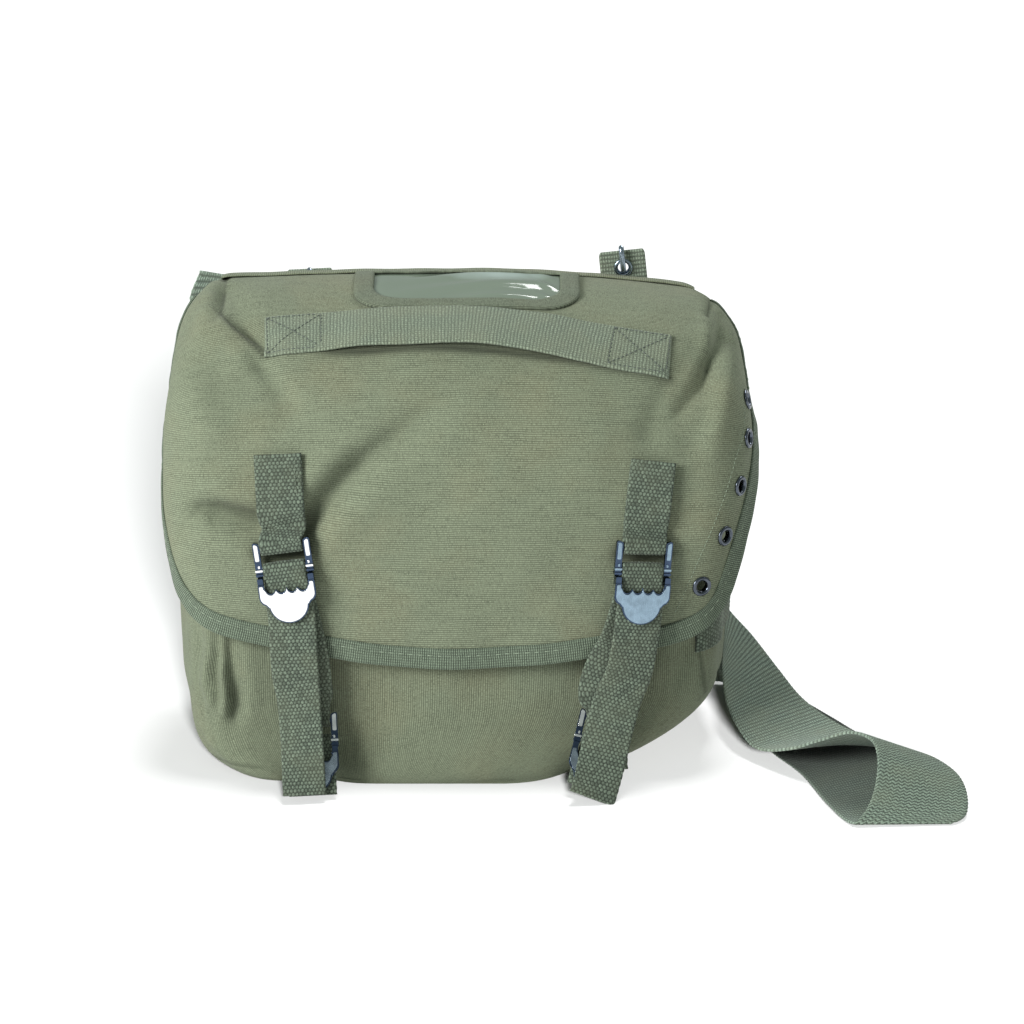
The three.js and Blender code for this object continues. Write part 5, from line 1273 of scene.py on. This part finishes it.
def closure_line(side):
    up, low = PLACES["upper", side], PLACES["lower", side]
    foot = [low.at(0, 15, -CLEAR + 0.2), low.at(0, 9, -CLEAR)]
    turn = in_place(low, round_bar(BUCKLE["upperBar"], 1))[::-1]
    rise = [low.at(0, 8, CLEAR), *[np.array(x, float) for x in TAUT[side]], up.at(0, -14, -CLEAR - 0.3), up.at(0, -9, -CLEAR)]
    loop = in_place(up, round_bar(BUCKLE["lowerBar"], -1))
    fall = [up.at(0, -9, CLEAR), up.at(0, -20, CLEAR - 0.3), up.at(0, -32, CLEAR - 0.3)]
    free = [np.array(x, float) for x in FREE_END[side]]

    def hint(k):
        rise_, free_ = step(0.15, 0.32, k)[:, None], step(0.66, 0.84, k)[:, None]
        turned = up.level + np.array([0, 0.25, 0]) * step(0.88, 1.0, k)[:, None]
        return low.p * (1 - rise_) + up.p * (rise_ * (1 - free_)) + turned * (rise_ * free_)

    return [*foot, *turn, *rise, *loop, *fall, *free], hint


def bottom_line(side):
    f, (x, y, z, end) = PLACES["lower", side], BOTTOM_ROOT[side]
    loop = in_place(f, round_bar(BUCKLE["lowerBar"], -1))
    fall = [f.at(0, -10, CLEAR), f.at(0, -20, CLEAR - 0.2), f.at(0, mix(-20, end, 0.6), CLEAR - 0.5), f.at(0, end, CLEAR - 1.2)]
    return [np.array((x, y + 0.6, z - 8.0)), np.array((x, y, float(z))), f.at(0, -8.5, -8.5), *loop, *fall], f.p


def squeezed(*places, keep=1.0, tail=1.0):
    """Share of its width that a band keeps near its buckles."""
    def share(line):
        wide = keep * mix(1.0, tail, step(0.7, 0.82, np.linspace(0, 1, len(line))))
        for f in places:
            d = (line - f.o) @ f.q
            near = (np.linalg.norm(line - f.o, axis=1) < 34) * step(8.0, 5.5, (line - f.o) @ f.n)
            wide = np.minimum(wide, 1 - near * (1 - (f.half - 3.4) * 2 / WEB_WIDTH) * step(24, 9, np.abs(d)))
        return wide
    return share


def stub_stitches(side):
    f, (tt, tv), (lt, lv) = PLACES["upper", side], STUB_TOP[side], UPPER[side][:2]
    n = CANVAS / 2 + 0.35 + WEB * 2 + 0.25
    parts = []
    for a, b in (((0.05, -9.5), (0.05, 9.5)), ((0.64, -10.5), (0.64, 10.5)), ((0.05, -9.5), (0.64, -9.5)), ((0.05, 9.5), (0.64, 9.5))):
        k = np.linspace(0, 1, 40)
        s, x = mix(a[0], b[0], k), mix(a[1], b[1], k)
        t, v = mix(tt, lt, s) + x, mix(tv, lv, s)
        parts.append(thread(on_flap(t, v, np.full(40, n)), flap_out(t, v), pitch=2.9, share=0.66, radius=0.25, sink=0.2))
    return joined(parts)


# ---------------------------------------------------------------- side webbing, shoulder strap
def make_side_band():
    part = np.linspace(1.36, 2.95, 140)
    w = np.linspace(1.14, 1.3, 37)
    P, W = np.meshgrid(part, w, indexing="ij")
    p, n = body_point(P, W), body_out(P, W)
    length = np.concatenate([[0], np.cumsum(np.linalg.norm(np.diff(p[:, 18], axis=0), axis=1))])
    tall = np.concatenate([[0], np.cumsum(np.linalg.norm(np.diff(p[0], axis=0), axis=1))])
    h = 0.5 * knots(tall[None, :], length[:, None])
    uv = np.stack(np.broadcast_arrays(tall[None, :], length[:, None]), -1)
    return sheet_solid(p + n * (1.4 + h)[..., None], p + n * 0.3, uv)


STRAP_ROWS = np.array([
    (98, 65.6, 32, 98, 65.6, 78), (122, 65.6, 31, 122, 65.6, 77), (141, 55, 34, 139, 66.5, 64), (141.2, 32, 37, 145, 66, 50),
    (140.6, 12, 31, 158.5, 50, 39), (142, -6, 21.8, 172, 28, 27.7), (147, -26, 15, 185, 4, 18.6), (157, -44, 8.5, 202, -20, 13.8),
    (174, -62, 15.4, 217, -38, 12.7), (190, -74, 25.5, 230, -54, 13.3), (205, -84, 33.7, 242.6, -68, 15.5), (215.4, -96, 34, 253.5, -82, 16),
    (218, -109, 28.4, 262.5, -97, 13.6), (216, -122, 18, 266, -110, 8), (211, -131, 8.5, 264, -125, 2.6), (204, -134, 2, 256, -131, 1.5),
    (193, -108, 1.5, 241, -97, 7), (181, -64, 1.5, 228, -52, 10), (165, -28, 1.7, 211, -17, 8.5), (155, 4, 5, 200, 16, 4),
    (149, 30, 14, 185, 46, 2), (143, 54, 28, 163, 70, 2.2), (132, 69.6, 44, 134, 75, 3), (104, 71, 60, 98, 73, 16), (66, 69, 90, 44, 69.5, 48),
    (-22, 66.5, 162, -50, 66.5, 125), (-76, 68.6, 206, -112, 67.5, 174), (-98, 69.6, 224, -143, 68, 209), (-106, 69.8, 233, -153, 67.8, 228), (-104, 69.8, 238, -147, 67.6, 246),
], float)


def make_strap():
    rows = 900
    mids = (STRAP_ROWS[:, :3] + STRAP_ROWS[:, 3:]) / 2
    key = np.concatenate([[0], np.cumsum(np.linalg.norm(np.diff(mids, axis=0), axis=1))])
    dense = np.linspace(0, key[-1], 5000)
    edges = lambda x: np.stack([read(key, STRAP_ROWS[:, c], x) for c in range(6)], -1)
    q = edges(dense)
    far = np.concatenate([[0], np.cumsum(np.linalg.norm(np.diff(q[:, :3] + q[:, 3:], axis=0), axis=1))])
    fine = np.interp(np.linspace(0, far[-1], rows), far, dense)
    row = np.interp(fine, key, np.arange(len(key)))
    a, b = edges(fine)[:, :3], edges(fine)[:, 3:]
    mid = (a + b) / 2
    along = unit(np.gradient(mid, axis=0))
    across = unit(b - a)
    n = unit(np.cross(across, along))
    at = np.concatenate([[0], np.cumsum(np.linalg.norm(np.diff(mid, axis=0), axis=1))])
    rim = np.array([0, 0.006, 0.014, 0.027])
    k = np.concatenate([rim, np.linspace(0.045, 0.955, 31), 1 - rim[::-1]])
    wide = np.linalg.norm(b - a, axis=1).mean()
    edge = np.clip(np.minimum(k, 1 - k) * wide / 1.3, 0, 1)
    body = 0.3 + 0.7 * np.sqrt(np.clip(1 - (1 - edge) ** 2, 0, 1))
    saw = 0.22 * np.sin(at * 2 * np.pi / 2.65)[:, None] * (1 - edge)[None, :] * np.sign(k - 0.5)[None, :]
    p = a[:, None, :] + (b - a)[:, None, :] * k[None, :, None] + across[:, None, :] * saw[..., None]
    half = (WIDE_WEB / 2 - 0.15) * body
    uv = np.stack(np.broadcast_arrays((k * wide)[None, :], at[:, None]), -1)
    ribs = 0.11 * np.abs(np.cos(np.pi * at / 2.65))[:, None] * np.ones_like(k)[None, :]
    thick = (half[None, :] + ribs - 0.1)[..., None] * n[:, None, :]
    outer, inner = p + thick, p - thick
    outer[..., 2], inner[..., 2] = np.maximum(outer[..., 2], 0.15), np.maximum(inner[..., 2], 0.05)
    # painted shade inside the strap's loop, on the rows where it turns back, darkest on the farther rows
    dark = np.broadcast_to(((0.5 * step(15.1, 16.0, row) + 0.49 * step(16.2, 17.5, row)) * (1 - step(19.5, 21, row)))[:, None], p.shape[:2]).reshape(-1)
    dark = np.concatenate([dark, 0 * dark])
    quads = (np.arange(rows - 1)[:, None] + 0 * np.arange(len(k) - 1)[None, :]).reshape(-1)
    zigzag = np.concatenate([0 * quads, ((row[quads] > 10.7) & (row[quads] < 16)).astype(int)])
    seams = []
    for r0, r1 in ((0.12, 0.75), (28.2, 28.85)):
        i0, i1 = np.searchsorted(row, r0), np.searchsorted(row, r1)
        lo, hi = 5, len(k) - 6
        path = [(i, lo) for i in range(i0, i1)] + [(i1, j) for j in range(lo, hi)] + [(i, hi) for i in range(i1, i0, -1)] + [(i0, j) for j in range(hi, lo - 1, -1)]
        i, j = np.array(path).T
        up = np.where((n[i, 1] > 0)[:, None], n[i], -n[i])
        seams.append(thread(p[i, j] + up * (WIDE_WEB / 2 + 0.1), up, pitch=3.0, share=0.7, radius=0.3, sink=0.0))
    return sheet_solid(outer, inner, uv), at[-1], wide, dark, zigzag, joined(seams)


# ---------------------------------------------------------------- back tabs
TAB = dict(width=25.4, tall=38.0, thick=1.8, corner=4.0, hole=4.2, eye=9.5)
TABS = dict(right=(88.5, 71.2, 218.4, 2, 6), left=(-86, 74.5, 208.5, 38, 3))


def tab_place(side):
    x, y, z, lean, roll = TABS[side]
    return Place((x, y, z), (1, 0, 0), (0, -math.cos(lean * RAD), math.sin(lean * RAD)), roll)


def make_tab(side):
    f, h, tall, eye = tab_place(side), TAB["width"] / 2, TAB["tall"], TAB["tall"] - TAB["eye"]
    a, b = np.meshgrid(np.linspace(-h, h, 41), np.linspace(0, tall, 61))
    gone = np.hypot((a[:-1, :-1] + a[1:, 1:]) / 2, (b[:-1, :-1] + b[1:, 1:]) / 2 - eye) < TAB["hole"] - 0.25
    r = np.hypot(a, b - eye)
    near = np.zeros(a.shape, bool)
    for i, j in ((0, 0), (0, 1), (1, 0), (1, 1)):
        near[i:i + gone.shape[0], j:j + gone.shape[1]] |= gone
    k = np.where(near & (r > 0.1), TAB["hole"] / np.maximum(r, 0.1), 1.0)
    a, b = a * k, eye + (b - eye) * k
    pull = np.clip(b - (tall - TAB["corner"]), 0, None) / TAB["corner"]
    a = a * (1 - 0.10 * pull ** 3)
    edge = np.clip(np.minimum(h - np.abs(a), tall - b) / 0.9, 0, 1)
    body = 0.35 + 0.65 * np.sqrt(np.clip(1 - (1 - edge) ** 2, 0, 1))
    ribs = 0.16 * np.abs(np.cos(np.pi * b / 2.3))
    half = (TAB["thick"] / 2 - 0.1) * body + ribs
    uv = np.stack([a, b], -1)
    return sheet_solid(f.at(a, b, half), f.at(a, b, -half), uv, gone)


def ring_profile(bore, out, half, roll=1.0):
    """A rolled eyelet: barrel, rounded face and spread back."""
    top = [(out - (out - bore - 0.2) * (1 - math.cos(x)) / 2, half + roll * math.sin(x)) for x in np.linspace(0.1, math.pi - 0.25, 12)]
    return [(bore + 0.75, -half), (bore + 0.75, half - 0.1), (out - 0.1, half - 0.1)] + top + [(bore, half - 0.3), (bore, -half - 0.5), (bore + 0.6, -half - 0.9), (out - 0.4, -half - 0.7), (out - 0.4, -half - 0.2)]


# ---------------------------------------------------------------- finishes
CANVAS_FLAP = canvas("canvas_flap", (0.163, 0.187, 0.126))
CANVAS_PATCH = canvas("canvas_patch", (0.127, 0.150, 0.106))
# the bag's canvas is a darker copy of the flap's: painted shade for the body lying under the flap
CANVAS_BAG_SHADED = canvas("canvas_bag_painted_shade", (0.145, 0.167, 0.112))
WEBBING = woven("webbing_knots", (0.124, 0.157, 0.117), low=0.24)
HANDLE_WEB = woven("webbing_handle", (0.200, 0.242, 0.178), px=1.35, py=1.8, kind="ribs", low=0.5, stagger=False)
STRAP_WEB = woven("webbing_wide", (0.225, 0.288, 0.233), px=1.27, py=2.65, kind="ribs", low=0.34)
STRAP_FACE = woven("webbing_zigzag", (0.208, 0.270, 0.212), px=3.2, py=2.0, kind="zigzag", low=0.2)
TAB_WEB = woven("webbing_tab", (0.212, 0.256, 0.196), px=1.5, py=2.3, kind="ribs", low=0.45)
TAPE_MAT = tape_cloth("binding_tape", (0.128, 0.162, 0.116))
THREAD_DARK = yarn("thread_dark", (0.112, 0.13, 0.112))
THREAD = yarn("thread", (0.17, 0.20, 0.15))
THREAD_PALE = yarn("thread_pale", (0.29, 0.35, 0.26))
STEEL = metal("steel", (0.94, 0.95, 0.96), 0.16, 0.5)
# a darker, bluer copy of the bright steel for the right upper buckle: painted shade, with rougher brushing
STEEL_BRUSHED_SHADED = metal("steel_brushed_painted_shade", (0.27, 0.37, 0.46), 0.3, 1.4)
LOWER_STEEL = metal("steel_lower", (0.30, 0.36, 0.42), 0.25, 1.0)
NAVY = metal("steel_blued", (0.055, 0.08, 0.13), 0.2)
DARK = metal("dark_metal", (0.10, 0.115, 0.14), 0.25)
g = Graph("clear_vinyl")
at = g.place()
uv, u, v = g.cloth()
glare_and_ripple = g.noise(at, 60.0, 3.0)
fine = g.noise(at, 900.0, 2.0)
# painted reflection: a pale patch in the colour, round a point right of the middle, stands for glare on the vinyl; the
# same noise also ripples its surface
du, dv = g.math("DIVIDE", g.math("SUBTRACT", u, 16.0), 32.0), g.math("DIVIDE", g.math("SUBTRACT", v, 19.0), 14.0)
far = g.math("ADD", g.math("MULTIPLY", du, du), g.math("MULTIPLY", dv, dv))
painted_glare = spread(g, g.math("ADD", far, glare_and_ripple), 1.5, 0.4)
g.set(Base_Color=g.blend(painted_glare, (0.155, 0.195, 0.15), (0.31, 0.38, 0.35)), Roughness=g.math("MULTIPLY_ADD", fine, 0.08, 0.07), Specular_IOR_Level=0.7, Normal=g.bump(glare_and_ripple, 0.0005, 0.3))
VINYL = g.material

# ---------------------------------------------------------------- pieces
flap = show("flap_cloth", make_flap(), CANVAS_FLAP, ["flap"], painted_shade=flap_painted_shade)
made, dark, girth = make_bag()
bag = show("bag_cloth", made, CANVAS_BAG_SHADED, ["bag_body"], painted_shade=lambda u: dark)
close_ring(bag, girth * MM)
show("flap_tape", make_binding(), TAPE_MAT, ["flap_binding"])
show("flap_tape_stitches", binding_stitches(), THREAD_PALE)
show("back_tape", make_back_binding(), CANVAS_FLAP, ["back_binding"])
show("window_frame_cloth", make_surround(), CANVAS_PATCH, ["window_surround"])
show("window_vinyl", make_pane(), VINYL, ["window_pane"])
show("handle_web", make_handle(), HANDLE_WEB, ["handle"])
show("handle_stitches", handle_stitches(), THREAD_DARK)
for side in ("left", "right"):
    line, hint = stub_line(side)
    show(f"stub_web_{side}", webbing(line, hint, squeeze=squeezed(PLACES["upper", side], keep=0.94 if side == "right" else 1.0)), WEBBING, [f"strap_stub_{side}"])
    show(f"stub_stitches_{side}", stub_stitches(side), THREAD)
    line, hint = closure_line(side)
    show(f"closure_web_{side}", webbing(line, hint, cup=-0.4, squeeze=squeezed(PLACES["upper", side], PLACES["lower", side], tail=0.9 if side == "left" else 1.0)), WEBBING, [f"closure_strap_{side}"])
    line, hint = bottom_line(side)
    show(f"bottom_web_{side}", webbing(line, hint, squeeze=squeezed(PLACES["lower", side])), WEBBING, [f"bottom_strap_{side}"])
    for level in ("upper", "lower"):
        f = PLACES[level, side]
        # painted shade: the right upper buckle takes a darker, bluer copy of the bright steel that the left upper
        # buckle has
        face = LOWER_STEEL if level == "lower" else STEEL if side == "left" else STEEL_BRUSHED_SHADED
        show_slabs(f"{level}_frame_{side}", ladder(f), [STEEL if (level, side) != ("upper", "right") else STEEL_BRUSHED_SHADED, NAVY], [f"{level}_buckle_{side}"])
        show_slabs(f"{level}_plate_{side}", thumb_plate(f), [face, NAVY], [f"{level}_lever_{side}"])
    f, eye = tab_place(side), TAB["tall"] - TAB["eye"]
    show(f"tab_web_{side}", make_tab(side), TAB_WEB, [f"back_tab_{side}"])
    corners = np.array([(-9, 3), (9, 3), (9, 14), (-9, 14), (-9, 3)], float)
    path = np.concatenate([mix(x, y, np.linspace(0, 1, 24)[:, None]) for x, y in zip(corners[:-1], corners[1:])])
    rows = [thread(f.at(path[:, 0], path[:, 1], np.full(len(path), d * (TAB["thick"] / 2 + 0.12))), np.tile(f.n * d, (len(path), 1)), pitch=2.8, share=0.7, radius=0.26, sink=0.0) for d in (-1, 1)]
    show(f"tab_stitches_{side}", joined(rows), THREAD_DARK)
    show(f"tab_ring_{side}", lathe(ring_profile(2.9, 5.2, TAB["thick"] / 2 + 0.15), f.at(0, eye, 0), f.n), LOWER_STEEL, [f"tab_grommet_{side}"])
    tall = TAB["tall"]
    top = [(tall + 2.4, 1.2), (tall + 1.8, 3.6)] if side == "right" else [(tall - 2.0, 2.6), (tall - 2.4, 4.2)]
    route = [*top, (tall - 3, 4.6), (eye - 0.6, 4.2), (eye + 0.2, 1.5), (eye + 0.2, -1.5), (eye - 0.4, -3.8), (eye - 6, -5.4), (eye - 14, -5.2)]
    show(f"tab_wire_{side}", tube([f.at(0, q, n) for q, n in route], 1.5), LOWER_STEEL, [f"tab_hook_{side}"])
for k, (t, v) in enumerate(EYELETS):
    t, v = np.array(float(t)), np.array(float(v))
    show(f"eyelet_ring_{k + 1}", lathe(ring_profile(3.0, 5.5, CANVAS / 2 + 0.1), flap_point(t, v), flap_out(t, v)), DARK, [f"eyelet_{k + 1}"])
line, _ = smooth_line([(153, 120), (152, 137), (146, 153), (140, 172), (131, 195), (124, 211), (120, 221), (111, 242)], pitch=1.0)
seam = thread(on_flap(line[:, 0], line[:, 1], np.full(len(line), CANVAS / 2 + 0.12)), flap_out(line[:, 0], line[:, 1]), pitch=2.6, share=0.66, radius=0.2, sink=0.05)
show("wing_stitches", seam, THREAD_PALE)
show("side_band_web", make_side_band(), WEBBING, ["side_webbing"])
made, strap_length, strap_width, dark, zigzag, seams = make_strap()
strap = show("shoulder_web", made, STRAP_WEB, ["shoulder_strap"], painted_shade=lambda u: dark)
strap.data.materials.append(STRAP_FACE)
show("strap_stitches", seams, THREAD)
face = np.zeros(len(strap.data.polygons), np.int32)
face[:len(zigzag)] = zigzag
strap.data.polygons.foreach_set("material_index", face)

# ---------------------------------------------------------------- floor, light, camera
me = bpy.data.meshes.new("floor")
s = 6.0
me.from_pydata([(-s, -s, 0), (s, -s, 0), (s, s * 2, 0), (-s, s * 2, 0)], [], [(0, 1, 2, 3)])
floor = bpy.data.objects.new("floor", me)
bpy.context.scene.collection.objects.link(floor)
g = Graph("floor_paper")
g.set(Base_Color=(0.5, 0.5, 0.5), Roughness=0.9, Specular_IOR_Level=0.1)
me.materials.append(g.material)
floor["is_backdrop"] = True


def soft_light(name, at, aim, size, power, colour=(1, 1, 1), tall=None):
    data = bpy.data.lights.new(name, "AREA")
    data.energy, data.color, data.size = power, colour, size
    if tall:
        data.shape, data.size_y = "RECTANGLE", tall
    o = bpy.data.objects.new(name, data)
    o.location = at
    o.rotation_euler = (Vector(aim) - Vector(at)).to_track_quat("-Z", "Y").to_euler()
    bpy.context.scene.collection.objects.link(o)
    return o


key = soft_light("key", (-2.15, -1.75, 1.5), (0, 0, 0.12), 1.3, 132)
back = soft_light("back", (0.9, 1.3, 1.75), (0, 0, 0.2), 1.5, 30, tall=0.7)


def sun(name, travel, power, angle):
    data = bpy.data.lights.new(name, "SUN")
    data.energy, data.angle = power, angle * RAD
    o = bpy.data.objects.new(name, data)
    o.rotation_euler = Vector(travel).to_track_quat("-Z", "Y").to_euler()
    bpy.context.scene.collection.objects.link(o)
    return o


# the floor has its own light, and the key lights only the bag
low = sun("floor_front", (-math.sin(5.4 * RAD) * math.cos(20.5 * RAD), math.cos(5.4 * RAD) * math.cos(20.5 * RAD), -math.sin(20.5 * RAD)), 11.5, 9)
high = sun("floor_top", (-0.10, -0.12, -1.0), 2.2, 12)
ground = bpy.data.collections.new("ground")
ground.objects.link(floor)
things = bpy.data.collections.new("things")
for o in bpy.context.scene.objects:
    if o.type == "MESH" and o is not floor:
        things.objects.link(o)
for light, group in ((low, ground), (high, ground), (key, things), (back, things)):
    light.light_linking.receiver_collection = group
world = bpy.data.worlds.new("studio")
world.use_nodes = True
world.node_tree.nodes["Background"].inputs[0].default_value = (0.90, 1.0, 0.95, 1)
world.node_tree.nodes["Background"].inputs[1].default_value = 0.37
bpy.context.scene.world = world
bpy.context.scene.view_settings.view_transform = "Standard"
bpy.context.scene.view_settings.look = "None"

camera = bpy.data.cameras.new("camera")
camera.lens, camera.sensor_width, camera.clip_end = 172.5, 36, 50
eye = bpy.data.objects.new("camera", camera)
eye.location = (0.0244, -2.5233, 0.9980)
eye.rotation_euler = (71 * RAD, 0, 0)
bpy.context.scene.collection.objects.link(eye)
bpy.context.scene.camera = eye

box_at_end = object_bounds()
plain = lambda b: [[float(x) for x in c] for c in b]
{"start": plain(box_at_start), "end": plain(box_at_end)}
